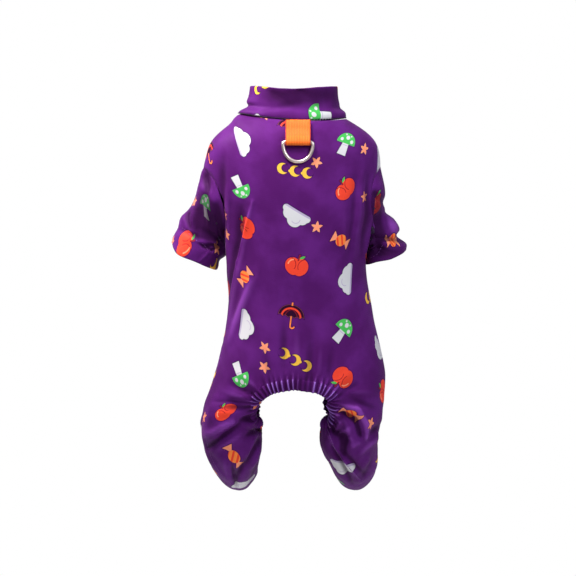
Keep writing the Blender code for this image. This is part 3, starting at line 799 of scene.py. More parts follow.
def cloudMotif(x, y):
    x, y = (addMath("DIVIDE", value, printLook["cloudScale"]) for value in (x, y))
    puffs = [(-9, -1, 6.8), (-1, 4.0, 9.0), (8.5, 0.5, 7.2), (14.0, -3.4, 4.6), (-14.0, -3.8, 4.2)]
    shapes = [box(x, y, 0, -5.4, 14, 2.4)] + [disc(x, y, *puff) for puff in puffs]
    curl = within(edgeLine(disc(x, y, -1.5, 2.2, 5.6), 0.42), minus(x, 1.2), minus(0.6, y))
    under = plus(y, 5.4)
    colour = paintOver(printLook["white"], (under, printLook["shade"]), (curl, printLook["shade"]))
    return within(nearest(shapes, 1.2), minus(-7.8, y)), colour


def appleMotif(x, y):
    side = absolute(x)
    apple = nearest([disc(side, y, 4.6, -0.6, 8.4, 0.92), disc(side, y, 3.0, -5.2, 5.6)], 3.0)
    stem = box(plus(x, times(y, -0.12)), y, 0, 9.0, 0.75, 3.4)
    leaf = larger(disc(x, y, 6.8, 6.0, 5.6), disc(x, y, 2.6, 13.2, 5.4))
    shine = within(edgeLine(disc(x, y, -3.0, -0.4, 6.8), 0.7), plus(x, 4.5), minus(0.0, y))
    seam = within(edgeLine(disc(side, y, 9.5, 0.0, 8.2), 0.35), minus(-4.0, y))
    colour = paintOver(
        printLook["red"],
        (seam, printLook["darkRed"]),
        (shine, printLook["salmon"]),
        (leaf, printLook["green"]),
        (stem, printLook["darkRed"]),
    )
    return nearest([apple, stem, leaf]), colour


def toadstoolMotif(x, y):
    stem = box(plus(absolute(x), times(plus(y, 3.0), 0.12)), y, 0, -7.0, 4.2, 7.4)
    cap = within(disc(x, y, 0, -1.0, 12.0), minus(-1.6, y))
    dots = ((0.5, 5.6, 2.5), (-6.6, 2.2, 1.9), (6.9, 1.9, 2.1), (-2.8, 8.8, 1.1), (4.4, 8.0, 1.0))
    spots = nearest([disc(x, y, *dot) for dot in dots])
    fold = edgeLine(plus(y, 3.4), 0.35)
    colour = paintOver(
        printLook["white"],
        (fold, printLook["shade"]),
        (cap, printLook["green"]),
        (spots, printLook["white"]),
    )
    return nearest([stem, cap]), colour


def umbrellaMotif(x, y):
    side = absolute(x)
    bites = nearest([disc(side, y, centre, -4.4, 3.4) for centre in (0.0, 6.6, 12.6)])
    dome = within(disc(x, y, 0, -3.0, 14.5), minus(-2.6, y), minus(0.0, bites))
    stick = box(x, y, 0, -5.0, 0.75, 7.0)
    hook = within(edgeLine(disc(x, y, 2.2, -12.0, 2.2), 0.75), plus(y, 12.0))
    tip = box(x, y, 0, 12.4, 0.8, 1.8)
    rib = edgeLine(disc(side, y, -3.4, -3.4, 10.4), 0.4)
    band = edgeLine(disc(x, y, 0, -3.0, 10.6), 1.0)
    colour = paintOver(printLook["dark"], (rib, printLook["darkRed"]), (band, printLook["red"]))
    colour = addMix(softMask(dome), printLook["orange"], colour)
    return nearest([dome, stick, hook, tip]), paintOver(colour, (tip, printLook["orange"]))


def sweetMotif(x, y):
    side = absolute(x)
    middle = disc(x, y, 0, 0, 6.6)
    wrap = minus(absolute(y), times(minus(side, 4.2), 0.78))
    slant = plus(times(x, 0.9), times(y, 0.75))
    stripe = addRamp(addMath("SINE", slant), 0.15, 0.45)
    candy = addMix(stripe, printLook["orange"], printLook["red"])
    colour = paintOver(printLook["salmon"], (middle, candy))
    return nearest([middle, within(wrap, minus(side, 12.4))]), colour


def crescentMotif(x, y):
    shapes = [disc(x, y, dot, -1.0, 1.5) for dot in (-6.0, 8.0)]
    for shift in (-14.0, 0.0, 14.0):
        bite = disc(x, y, shift + 3.2, 1.0, 4.8)
        shapes.append(within(disc(x, y, shift, 0, 6.2), minus(0.0, bite)))
    return nearest(shapes), printLook["yellow"]


def figureCell(across, down, width, height):
    # the cell that a place is in, its random draw, and the place turned about the cell's middle
    tree = treeOf(across)
    column, row = (addMath("FLOOR", value) for value in (across, down))
    chance = tree.nodes.new("ShaderNodeTexWhiteNoise")
    plug(chance.inputs["Vector"], joinVector(tree, column, row, width))
    draws = tree.nodes.new("ShaderNodeSeparateColor")
    plug(draws.inputs[0], chance.outputs["Color"])
    place = []
    for value, size, draw in zip((across, down), (width, height), draws.outputs):
        local = times(minus(addMath("FRACT", value), 0.5), size)
        wander = times(minus(draw, 0.5), printLook["wander"])
        place.append(addMath("DIVIDE", plus(local, wander), printLook["scale"]))
    turned = tree.nodes.new("ShaderNodeVectorRotate")
    turned.rotation_type = "Z_AXIS"
    turn = times(draws.outputs[2], 2 * math.pi)
    setInputs(turned, {"Vector": joinVector(tree, *place), "Angle": turn})
    x, y, _ = splitVector(turned.outputs[0])
    return column, row, chance.outputs["Value"], x, y


def makePrintGroup():
    # autumn figures scattered on a half-drop lattice, from the flat pattern in metres,
    # and small stars between them
    group, given, result = newGroup(
        "autumnPrint",
        [("Pattern", "NodeSocketVector", None), ("Shift", "NodeSocketFloat", 0.0)],
        [("Colour", "NodeSocketColor"), ("Mask", "NodeSocketFloat"), ("Rim", "NodeSocketFloat")],
    )
    width, height = printLook["cellWidth"], printLook["cellHeight"]
    x, y, _ = splitVector(given["Pattern"])
    across = addMath("DIVIDE", plus(times(x, 1000.0), given["Shift"]), width)
    down = addMath("DIVIDE", times(y, 1000.0), height)
    drop = times(addMath("FLOORED_MODULO", addMath("FLOOR", across), 2.0), 0.5)
    column, row, _, x, y = figureCell(across, plus(down, drop), width, height)
    mix = plus(times(column, 3.0), times(plus(row, 1.0), 2.0))
    kind = addMath("FLOORED_MODULO", mix, 8.0)
    motifs = [
        (cloudMotif, (4, 5)),
        (appleMotif, (1, 2)),
        (umbrellaMotif, (0,)),
        (toadstoolMotif, (3,)),
        (sweetMotif, (7,)),
        (crescentMotif, (6,)),
    ]
    colour, distance = printLook["white"], 0.0
    for motif, kinds in motifs:
        shape, tint = motif(x, y)
        away = nearest([absolute(minus(kind, float(k))) for k in kinds])
        here = addMath("LESS_THAN", away, 0.5)
        colour = addMix(here, colour, tint)
        distance = plus(distance, times(here, shape))
    _, _, chance, x, y = figureCell(plus(across, 0.5), times(down, 2.0), width, height / 2)
    star = minus(hypot(x, y), starReach(x, y, *printLook["star"]))
    star = plus(star, times(addMath("LESS_THAN", chance, printLook["starless"]), 99.0))
    distance = nearest([distance, star])
    plug(result["Colour"], paintOver(colour, (star, printLook["salmon"])))
    plug(result["Mask"], softMask(distance))
    plug(result["Rim"], softMask(minus(distance, printLook["rimWidth"])))
    return group


def makeKnitGroup():
    # fine ribs of a jersey face, and a slow change of tone over the cloth
    group, given, result = newGroup(
        "jerseyFace",
        [("Pattern", "NodeSocketVector", None), ("Ribs", "NodeSocketFloat", 1500.0)],
        [("Height", "NodeSocketFloat"), ("Tone", "NodeSocketFloat")],
    )
    x, y, _ = splitVector(given["Pattern"])
    across = times(x, times(given["Ribs"], math.pi))
    along = times(y, times(given["Ribs"], 2.2))
    rib = absolute(addMath("SINE", across))
    stitch = times(addMath("SINE", plus(along, times(rib, 2.0))), 0.3)
    plug(result["Height"], plus(rib, stitch))
    plug(result["Tone"], addNoise(given["Pattern"], 26.0, 4.0))
    return group


def newMaterial(name):
    material = bpy.data.materials.new(name)
    material.use_nodes = True
    return material, material.node_tree, material.node_tree.nodes["Principled BSDF"]


jerseyLook = {
    "purple": paint(88, 31, 110),
    "deep": paint(73, 22, 89),
    "inside": paint(46, 16, 58),
    "insideDeep": paint(36, 12, 46),
    # painted highlight on fold ridges, and how much of it is used
    "ridgeHighlight": paint(146, 74, 178),
    "ridgeHighlightShare": 0.6,
    # painted highlight on the tops of the seat's gathers, and how much of it is used
    "gathers": paint(150, 104, 196),
    "gathersShare": 0.85,
    # painted shade in fold dips, and how much of it is used
    "dipShade": paint(34, 10, 36),
    "dipShadeShare": 0.72,
    # least, more where the knit is light, and more on the print
    "roughness": (0.45, 0.10, 0.08),
    "sheen": 0.09,
    "sheenTint": paint(226, 124, 238),
    "bend": 1.3,
    "specular": 0.14,
    "specularTint": paint(236, 130, 255),
    "ribHeight": 0.00012,
    "insideRibs": 1100.0,
    # how far the print is moved across the body and across the sleeves, in millimetres
    "shift": (26.5, 19.0),
}


def makeJersey(name, shift, tone="ridgeHighlight"):
    material, tree, shader = newMaterial(name)
    pattern = addUv(tree, "flat")
    knit = placeGroup(tree, knitGroup, Pattern=pattern)
    figures = placeGroup(tree, printGroup, Pattern=pattern, Shift=shift)
    folds = tree.nodes.new("ShaderNodeAttribute")
    folds.attribute_name = "fold"
    fold = folds.outputs["Fac"]
    # painted light from the fold attribute: ridges are lightened towards a highlight colour and
    # dips darkened towards a shade colour
    ridgeHighlight = times(addRamp(fold, 0.10, 0.80), jerseyLook[tone + "Share"])
    dipShade = times(addRamp(times(fold, -1.0), 0.04, 0.85), jerseyLook["dipShadeShare"])
    base = addMix(addRamp(knit["Tone"], 0.35, 0.68), jerseyLook["deep"], jerseyLook["purple"])
    base = addMix(ridgeHighlight, base, jerseyLook[tone])
    base = addMix(times(figures["Rim"], printLook["rimShare"]), base, printLook["rim"])
    base = addMix(figures["Mask"], base, figures["Colour"])
    least, knitRough, printRough = jerseyLook["roughness"]
    rough = plus(plus(times(knit["Tone"], knitRough), least), times(figures["Mask"], printRough))
    values = {
        "Base Color": addMix(dipShade, base, jerseyLook["dipShade"]),
        "Roughness": rough,
        "Sheen Weight": jerseyLook["sheen"],
        "Sheen Roughness": 0.35,
        "Sheen Tint": jerseyLook["sheenTint"],
        "IOR": jerseyLook["bend"],
        "Specular IOR Level": jerseyLook["specular"],
        "Specular Tint": jerseyLook["specularTint"],
        "Normal": addBump(knit["Height"], jerseyLook["ribHeight"], 0.35),
    }
    setInputs(shader, values)
    return material


def makeInside():
    material, tree, shader = newMaterial("jerseyBack")
    knit = placeGroup(tree, knitGroup, Pattern=addUv(tree, "flat"), Ribs=jerseyLook["insideRibs"])
    base = addMix(knit["Tone"], jerseyLook["insideDeep"], jerseyLook["inside"])
    bump = addBump(knit["Height"], jerseyLook["ribHeight"], 0.4)
    setInputs(shader, {"Base Color": base, "Roughness": 0.85, "Normal": bump})
    return material


def makeThread(name, colour):
    material, tree, shader = newMaterial(name)
    noise = addNoise(tree.nodes.new("ShaderNodeTexCoord").outputs["Object"], 900.0)
    dark = tuple(c * 0.6 for c in colour[:3]) + (1,)
    setInputs(shader, {"Base Color": addMix(noise, dark, colour), "Roughness": 0.7})
    return material


webbingLook = {
    "cord": 0.0016,
    "pick": 0.0012,
    "low": paint(220, 78, 14),
    "high": paint(254, 122, 36),
    "mottle": paint(255, 140, 44),
    # painted shade for the upper part of the outer layer
    "upperShade": paint(214, 80, 16),
    "selvedge": paint(206, 58, 26),
}


def makeWebbing():
    look = webbingLook
    material, tree, shader = newMaterial("orangeWeave")
    pattern = addUv(tree, "flat")
    x, y, _ = splitVector(pattern)
    # raised warp cords run along the webbing and the weft crosses them
    warp = addMath("SINE", times(x, 2 * math.pi / look["cord"]))
    weft = addMath("SINE", plus(times(y, 2 * math.pi / look["pick"]), times(warp, 1.2)))
    height = plus(times(warp, 0.5), times(weft, 0.35))
    base = addMix(addRamp(height, -0.8, 0.6), look["low"], look["high"])
    base = addMix(times(addNoise(pattern, 160.0, 3.0), 0.35), base, look["mottle"])
    # painted shade: the upper part of the outer layer is darkened
    base = addMix(times(addRamp(y, 0.0375, 0.0405), 0.5), base, look["upperShade"])
    base = addMix(addRamp(absolute(x), 0.0112, 0.0122), base, look["selvedge"])
    bump = addBump(height, 0.00025, 0.8)
    values = {"Base Color": base, "Roughness": 0.55, "Specular IOR Level": 0.25, "Normal": bump}
    setInputs(shader, values)
    return material


steelLook = {"dull": paint(200, 186, 182), "bright": paint(222, 210, 202), "roughness": 0.30}


def makeSteel():
    material, tree, shader = newMaterial("platedRing")
    where = tree.nodes.new("ShaderNodeTexCoord").outputs["Object"]
    fine, slow = addNoise(where, 700.0, 5.0), addNoise(where, 120.0)
    base = addMix(addRamp(slow, 0.35, 0.7), steelLook["dull"], steelLook["bright"])
    rough = plus(times(fine, 0.16), steelLook["roughness"])
    bump = addBump(fine, 0.00006, 0.3)
    setInputs(shader, {"Base Color": base, "Roughness": rough, "Metallic": 1.0, "Normal": bump})
    return material


printGroup = makePrintGroup()
knitGroup = makeKnitGroup()
jersey = makeJersey("printedJersey", jerseyLook["shift"][0])
sleeveJersey = makeJersey("sleeveJersey", jerseyLook["shift"][1])
# the gathered cloth takes the painted gathers highlight on its pleat tops
gatheredJersey = makeJersey("gatheredJersey", jerseyLook["shift"][0], "gathers")
jerseyBack = makeInside()
darkThread = makeThread("darkThread", paint(26, 9, 36))
purpleThread = makeThread("purpleThread", paint(120, 60, 142))
orangeWeave = makeWebbing()
platedRing = makeSteel()
print("materials made")


bodyLook = {
    "levels": 2,
    "slack": [
        (0, 0.0),
        (20, 0.04),
        (120, 0.05),
        (220, 0.06),
        (270, 0.22),
        (330, 0.45),
        (372, 0.30),
    ],
    # beside these the cloth is finer, within their reach in millimetres
    "fine": [
        (253, 202, 236, 262),
        (236, 262, 229, 300),
        (377, 190, 369, 254),
        (326, 426, 335, 449),
        (335, 449, 361, 481),
    ],
    "fineReach": 3.4,
    # and beside the sharp creases of the legs: least y, least rise, most width, and reach
    "legFine": (396, 1.0, 3.4, 2.0),
    "creases": [
        # down the left of the back, from under the armhole
        (253, 202, 236, 262, 1.5, 1.5),
        (250, 206, 233, 262, 2.6, -1.3),
        (236, 262, 230, 298, 1.5, 1.5),
        (233, 266, 226, 298, 2.6, -1.2),
        (250, 282, 229, 342, 3.4, 1.9),
        (251, 204, 245, 240, 3.6, 1.3),
        (245, 240, 238, 272, 3.6, 1.4),
        (238, 270, 229, 320, 3.8, 1.4),
        (242, 208, 235, 254, 5.0, -2.2),
        (235, 250, 226, 300, 4.6, -2.0),
        (228, 188, 228, 228, 2.8, 1.3),
        (229, 226, 225, 262, 2.8, 1.2),
        (260, 268, 238, 322, 4.4, 0.9),
        (222, 158, 222, 200, 4.6, -2.0),
        (221, 200, 221, 250, 4.2, -2.2),
        # down the right
        (362, 175, 352, 262, 3.2, 1.3),
        (356, 180, 348, 264, 3.8, -1.5),
        (368, 176, 362, 256, 3.4, -2.2),
        (377, 190, 369, 254, 2.2, 2.2),
        (343, 196, 346, 262, 4.5, 0.8),
        # slack above the seat
        (284, 322, 283, 366, 5.0, -1.7),
        (297, 330, 296, 374, 5.0, 1.2),
        (310, 338, 309, 384, 5.0, -1.6),
        (264, 350, 272, 384, 4.0, -1.4),
        (332, 350, 327, 384, 4.0, -1.4),
        (320, 346, 318, 382, 4.0, 1.1),
        # pleats up and out of the seat's corners
        (262, 392, 240, 372, 3.4, 1.5),
        (258, 398, 232, 384, 3.2, -1.6),
        (328, 392, 348, 374, 3.4, 1.5),
        (334, 396, 356, 384, 3.2, -1.8),
        # left leg, out and down from the inner knee
        (258, 401, 214, 401, 2.4, -1.6),
        (256, 408, 220, 407, 3.6, -2.0),
        (262, 404, 222, 390, 4.2, 1.5),
        (252, 398, 258, 410, 1.8, -1.8),
        (266, 416, 238, 420, 3.4, -4.2),
        (262, 422, 246, 424, 2.4, 1.6),
        (242, 417, 206, 436, 4.2, 2.6),
        (240, 424, 207, 447, 2.8, -3.6),
        (266, 426, 246, 436, 3.0, -3.2),
        (244, 432, 214, 452, 3.6, 1.6),
        (264, 436, 236, 478, 3.4, -4.0),
        (254, 440, 242, 474, 2.4, 1.8),
        (264, 452, 250, 484, 3.2, -2.8),
        (260, 446, 254, 470, 1.8, 1.2),
        (232, 464, 236, 486, 2.2, -2.6),
        (224, 456, 226, 478, 3.2, 1.2),
        (212, 452, 226, 482, 2.2, -0.6),
        (207, 404, 206, 434, 4.0, 1.2),
        # right leg, drapes round the inner knee
        (330, 398, 332, 424, 2.8, -3.2),
        (336, 404, 340, 424, 2.2, 1.6),
        (341, 404, 358, 409, 3.0, 2.6),
        (356, 408, 366, 424, 3.0, 3.2),
        (366, 422, 366, 440, 3.0, 2.2),
        (342, 412, 356, 420, 2.4, -3.6),
        (355, 419, 362, 440, 2.6, -3.6),
        (345, 420, 352, 444, 3.2, 1.8),
        (329, 428, 346, 440, 3.4, -4.0),
        (344, 436, 342, 454, 3.6, -4.4),
        (352, 446, 372, 434, 3.0, 1.6),
        (326, 426, 335, 449, 1.5, 1.6),
        (335, 449, 361, 481, 1.5, 1.6),
        (331, 446, 352, 482, 2.6, -2.8),
        (344, 452, 364, 474, 3.0, -2.2),
        (381, 424, 366, 440, 3.2, -2.2),
        (378, 436, 360, 454, 3.4, 1.8),
        (376, 452, 364, 478, 3.0, -1.6),
        (352, 398, 376, 408, 3.6, -1.8),
        (340, 392, 372, 392, 4.0, 1.2),
    ],
    "fans": [
        (268, 436, 185, 262, 3.6, 9, 44, 1.0),
        (328, 438, -78, 12, 3.4, 10, 44, 0.9),
        (264, 400, 190, 290, 4.5, 6, 26, 1.1),
        (326, 398, -130, -10, 5.5, 6, 28, 1.2),
        (222, 254, 195, 265, 2.6, 8, 40, 0.7),
        (366, 258, -88, -20, 2.6, 8, 40, 0.7),
    ],
    "moves": [
        (241, 119, 8, -3.6, -1.6),
        (203, 170, 10, -3.0, 0.0),
        (372, 214, 16, 3.6, 0.0),
        (330, 404, 8, -4.5, 0.0),
        (256, 408, 9, 4.0, 0.0),
        (254, 418, 7, 4.0, 0.0),
        (239, 490, 14, 0.0, 2.2),
        (355, 488, 14, 0.0, 2.2),
        (326, 466, 12, 2.0, 0.0),
    ],
    "frontCreases": [
        (262, 170, 246, 230, 6.0, 1.4),
        (330, 172, 344, 232, 6.0, 1.4),
        (240, 268, 262, 300, 5.0, -1.2),
        (352, 262, 330, 300, 5.0, -1.2),
        (222, 372, 252, 398, 5.0, 2.2),
        (372, 372, 342, 398, 5.0, 2.2),
        (216, 392, 248, 414, 4.5, -2.4),
        (378, 394, 346, 416, 4.5, -2.4),
        (214, 420, 250, 436, 4.5, 2.0),
        (380, 422, 344, 438, 4.5, 2.0),
    ],
    "frontFans": [
        (250, 352, 170, 300, 6.5, 8, 44, 1.1),
        (336, 352, -120, 10, 6.5, 8, 44, 1.1),
        (262, 440, 150, 250, 4.0, 9, 44, 1.4),
        (330, 440, -70, 30, 4.0, 9, 44, 1.4),
    ],
}

# the elastic casing of the seat and the gathers along it, in metres
seatLook = {
    "pleat": 0.0054,
    "reach": 0.012,
    "rise": 0.0016,
    "bandRise": 0.0029,
    "width": 0.0122,
    "overlap": 0.0017,
    "wall": 0.0024,
    # degrees: over the seat, and along the left and right leg
    "curl": (22, 66, 24),
    "step": 0.0008,
    # rounds of smoothing for places, normals and slopes
    "smooth": (12, 49, 20),
    "around": 20,
    # the pleat height that stays level, and the one between painted shade and painted highlight
    "pleatLevel": 0.25,
    "pleatLightAndShade": 0.45,
    # depth below which the band stands upright along the legs, and over what height
    "upright": (0.272, 0.014),
    # waves along the edge, as count and rise
    "wander": ((7, 0.8), (19, 0.55), (31, 0.3)),
    # the gathers are calmer low on the left: from x and z, over a width and height
    "calm": (0.030, 0.284, 0.008, 0.010),
}


def smoothLoop(values, times):
    for _ in range(times):
        values = (np.roll(values, 1, 0) + values * 2 + np.roll(values, -1, 0)) / 4
    return values


def resampleLoop(places, others, count):
    closed = np.vstack([places, places[:1]])
    steps = np.linalg.norm(np.diff(closed, axis=0), axis=1)
    walked = np.concatenate([[0], np.cumsum(steps)])
    stops = np.linspace(0, walked[-1], count, endpoint=False)
    results = []
    for values in (places, *others):
        values = np.vstack([values, values[:1]])
        results.append(np.column_stack([np.interp(stops, walked, row) for row in values.T]))
    return results, stops, walked[-1]


def findSeatLoop(data):
    places = readPlaces(data)
    level = 1.04 * suit["backLength"]
    return min(borderLoops(data), key=lambda loop: abs(places[loop][:, 2].mean() + level))


def refineCloth(obj, isNear):
    mesh = bmesh.new()
    mesh.from_mesh(obj.data)
    near = {v for v in mesh.verts if isNear(v)}
    edges = [e for e in mesh.edges if all(v in near for v in e.verts)]
    bmesh.ops.subdivide_edges(mesh, edges=edges, cuts=1, use_grid_fill=True, smooth=0)
    mesh.to_mesh(obj.data)
    mesh.free()
    obj.data.shade_smooth()


def seatTree():
    tree = KDTree(len(seatRim["places"]))
    for i, place in enumerate(seatRim["places"]):
        tree.insert(place, i)
    tree.balance()
    return tree


def refineSeat(obj):
    # finer cloth beside the seat's edge, so that it can be gathered
    tree, reach = seatTree(), seatLook["reach"] * 1.15
    refineCloth(obj, lambda vertex: tree.find(vertex.co)[2] < reach)


def refineLines(obj, lines, reach):
    # finer cloth beside the sharpest creases, given as x1, y1, x2, y2
    places, normals = readPlaces(obj.data), readNormals(obj.data)
    x, y = seenFromBack(places)
    least, away = foldLook["near"]
    near = np.zeros(len(x), bool)
    for line in lines:
        near |= creaseHeight(x, y, [(*line, reach, 1.0)]) > least
    near &= normals[:, 1] < away
    refineCloth(obj, lambda vertex: near[vertex.index])


def measureSeat(data):
    # the seat's edge in even steps: places, normals, flat pattern and how it runs on outwards
    loop = findSeatLoop(data)
    mesh = bmesh.new()
    mesh.from_mesh(data)
    mesh.verts.ensure_lookup_table()
    layer = mesh.loops.layers.uv["flat"]
    inLoop = set(loop)
    flats, slopes = [], []
    for index in loop:
        vertex = mesh.verts[index]
        flat = vertex.link_loops[0][layer].uv.copy()
        slope = Vector((0, 0))
        for corner in vertex.link_loops:
            for other in (corner.link_loop_next, corner.link_loop_prev):
                if other.vert.index not in inLoop:
                    run = (other.vert.co - vertex.co).length
                    slope = (corner[layer].uv - other[layer].uv) / run
                    flat = corner[layer].uv.copy()
        flats.append((flat.x, flat.y, 0))
        slopes.append((slope.x, slope.y, 0))
    mesh.free()
    places, normals = readPlaces(data)[loop], readNormals(data)[loop]
    around = np.linalg.norm(np.diff(np.vstack([places, places[:1]]), axis=0), axis=1).sum()
    count = int(around / seatLook["step"])
    others = [normals, np.array(flats), np.array(slopes)]
    results, stops, total = resampleLoop(places, others, count)
    places, normals, flats, slopes = results
    placeSmooth, normalSmooth, slopeSmooth = seatLook["smooth"]
    return {
        "places": smoothLoop(places, placeSmooth),
        "normals": unit(smoothLoop(normals, normalSmooth)),
        "flats": flats,
        "slopes": smoothLoop(slopes, slopeSmooth),
        "stops": stops,
        "total": total,
    }


def seatPleats():
    # 1 on the ridges and 0 in the dips between them
    stops, total = seatRim["stops"], seatRim["total"]
    turn = 2 * np.pi * stops / total
    wander = sum(np.sin(turn * k + k * k) * rise for k, rise in seatLook["wander"])
    phase = turn * round(total / seatLook["pleat"]) + wander
    strength = 1 + 0.3 * np.sin(turn * 11 + 1) + 0.2 * np.sin(turn * 23)
    out, down = -seatRim["places"][:, 0], -seatRim["places"][:, 2]
    calmOut, calmDown, width, height = seatLook["calm"]
    calm = np.clip((out - calmOut) / width, 0, 1) * np.clip((down - calmDown) / height, 0, 1)
    return (0.5 + 0.5 * np.cos(phase)) ** 2.0 * strength * (1 - 0.6 * calm)


# pleat tops get painted highlight and the dips between them get painted shade
def pleatLightAndShade(pleats):
    return (pleats - seatLook["pleatLightAndShade"]) * 1.1


def gatherSeat(obj):
    # carries the gathers of the elastic up into the cloth, with painted highlight on the pleat tops
    # and painted shade between them
    tree = seatTree()
    places, normals = readPlaces(obj.data), readNormals(obj.data)
    found = [tree.find(place) for place in places]
    away = np.array([f[2] for f in found])
    pleats = seatPleats()[[f[1] for f in found]]
    fade = np.clip(1 - away / seatLook["reach"], 0, 1) ** 1.4
    rise = seatLook["rise"] * fade * (pleats - seatLook["pleatLevel"])
    writePlaces(obj.data, places + normals * rise[:, None])
    paintFoldLightAndShade(obj.data, fade * pleatLightAndShade(pleats))


def buildSuit():
    mesh = bmesh.new()
    body = addBody(mesh)
    for side in sides:
        cutArmhole(mesh, body, side)
    for side in sides:
        addLeg(mesh, body, side)
    faceOutwards(mesh, Vector((0, 0, -suit["backLength"] / 2)))
    seam, columns = 2 * cage["half"], cage["belly"]
    belly = {
        body[column % seam, row]
        for column in range(seam - columns, seam + columns + 1)
        for row in range(cage["rows"] + 1)
    }
    for face in mesh.faces:
        face.material_index = 1 if all(v in belly for v in face.verts) else 0
    obj = newObject("suit", mesh, [jersey, jersey])
    subdivide(obj, bodyLook["levels"])
    low, rise, width, reach = bodyLook["legFine"]
    sharp = [row for row in bodyLook["creases"] if abs(row[5]) >= rise and row[4] <= width]
    refineLines(obj, [row[:4] for row in sharp if min(row[1], row[3]) > low], reach)
    refineLines(obj, bodyLook["fine"], bodyLook["fineReach"])
    pressCreases(obj, bodyLook["creases"], bodyLook["fans"])
    pressCreases(obj, bodyLook["frontCreases"], bodyLook["frontFans"], facing=1)
    slackCloth(obj, bodyLook["slack"], 3)
    nudgeCloth(obj, bodyLook["moves"])
    seatRim.update(measureSeat(obj.data))
    refineSeat(obj)
    gatherSeat(obj)
    return obj


def addWall(obj, thickness):
    modifier = obj.modifiers.new("wall", "SOLIDIFY")
    modifier.thickness = thickness
    modifier.offset = -1
    modifier.use_even_offset = False
    modifier.material_offset = len(obj.data.materials) - 1
    modifier.material_offset_rim = 0


def splitPanel(obj, name, index):
    mesh = bmesh.new()
    mesh.from_mesh(obj.data)
    gone = [face for face in mesh.faces if face.material_index != index]
    bmesh.ops.delete(mesh, geom=gone, context="FACES")
    for face in mesh.faces:
        face.material_index = 0
    panel = newObject(name, mesh, [jersey, jerseyBack])
    addWall(panel, suit["clothWall"])
    return panel


seatRim = {}
suitCloth = buildSuit()
print("suit cloth:", len(suitCloth.data.polygons), "faces")
backPanel = splitPanel(suitCloth, "backCloth", 0)
bellyPanel = splitPanel(suitCloth, "bellyCloth", 1)
bpy.data.objects.remove(suitCloth)


def buildCasing():
    places, normals = seatRim["places"], seatRim["normals"]
    tangents = unit(smoothLoop(np.roll(places, -1, 0) - np.roll(places, 1, 0), 12))
    way = unit(np.cross(tangents, normals))
    # towards the opening: down at the back of the seat
    if way[np.argmin(places[:, 1] + np.abs(places[:, 0])), 2] > 0:
        way = -way
    pleats = seatPleats()
    # the band lies flat over the seat and curls in along the legs
    start, height = seatLook["upright"]
    upright = smoothLoop(np.clip((-places[:, 2] - start) / height, 0, 1), 30)
    flatCurl, leftCurl, rightCurl = seatLook["curl"]
    legCurl = np.where(places[:, 0] < 0, leftCurl, rightCurl)
    curl = np.radians(flatCurl + upright * (legCurl - flatCurl))
    count, around = len(places), seatLook["around"]
    width, overlap, low, high = (seatLook[k] for k in ("width", "overlap", "rise", "bandRise"))
    mesh = bmesh.new()
    fold = mesh.verts.layers.float.new("fold")
    vertices = addGrid(mesh, count, around)
    flats = {}
    for row in range(around + 1):
        turn = 2 * math.pi * row / around
        # 0 is where the band meets the cloth, and half a turn is its free edge
        across = 0.5 - 0.5 * math.cos(turn)
        side = math.sin(turn)
        swell = abs(side) ** 0.7 * math.copysign(1, side)
        bend = (curl * across)[:, None]
        inward = normals * (1 - np.cos(bend)) / np.maximum(bend, 1e-6)
        run = across * width * (way * np.sinc(bend / np.pi) - inward)
        up = normals * np.cos(bend) + way * np.sin(bend)
        lift = swell * seatLook["wall"] / 2 - suit["clothWall"] / 2
        outer = min(1, max(0, 0.5 + side * 1.6))
        rise = low + (high - low) * math.sin(math.pi * across)
        rise *= outer + 0.3 * (1 - outer)
        rise = lift + rise * (pleats - seatLook["pleatLevel"])
        placed = places - way * overlap + run + up * rise[:, None]
        reach = across * width - overlap
        for column in range(count + 1):
            i = column % count
            vertices[column, row].co = placed[i]
            flat = seatRim["flats"][i] + seatRim["slopes"][i] * reach
            flats[vertices[column, row]] = (flat[0], flat[1])
            # painted highlight on the pleat tops and painted shade between them
            vertices[column, row][fold] = max(-1, min(1, pleatLightAndShade(pleats[i])))
    drawPattern(mesh, mesh.faces, flats)
    joinSides(mesh, vertices, count)
    ends = [vertices[column, row] for column in range(count) for row in (0, around)]
    bmesh.ops.remove_doubles(mesh, verts=ends, dist=1e-7)
    bmesh.ops.recalc_face_normals(mesh, faces=mesh.faces[:])
    return newObject("seatGathers", mesh, [gatheredJersey])


seatGathers = buildCasing()
print("casing:", len(seatGathers.data.polygons), "faces")

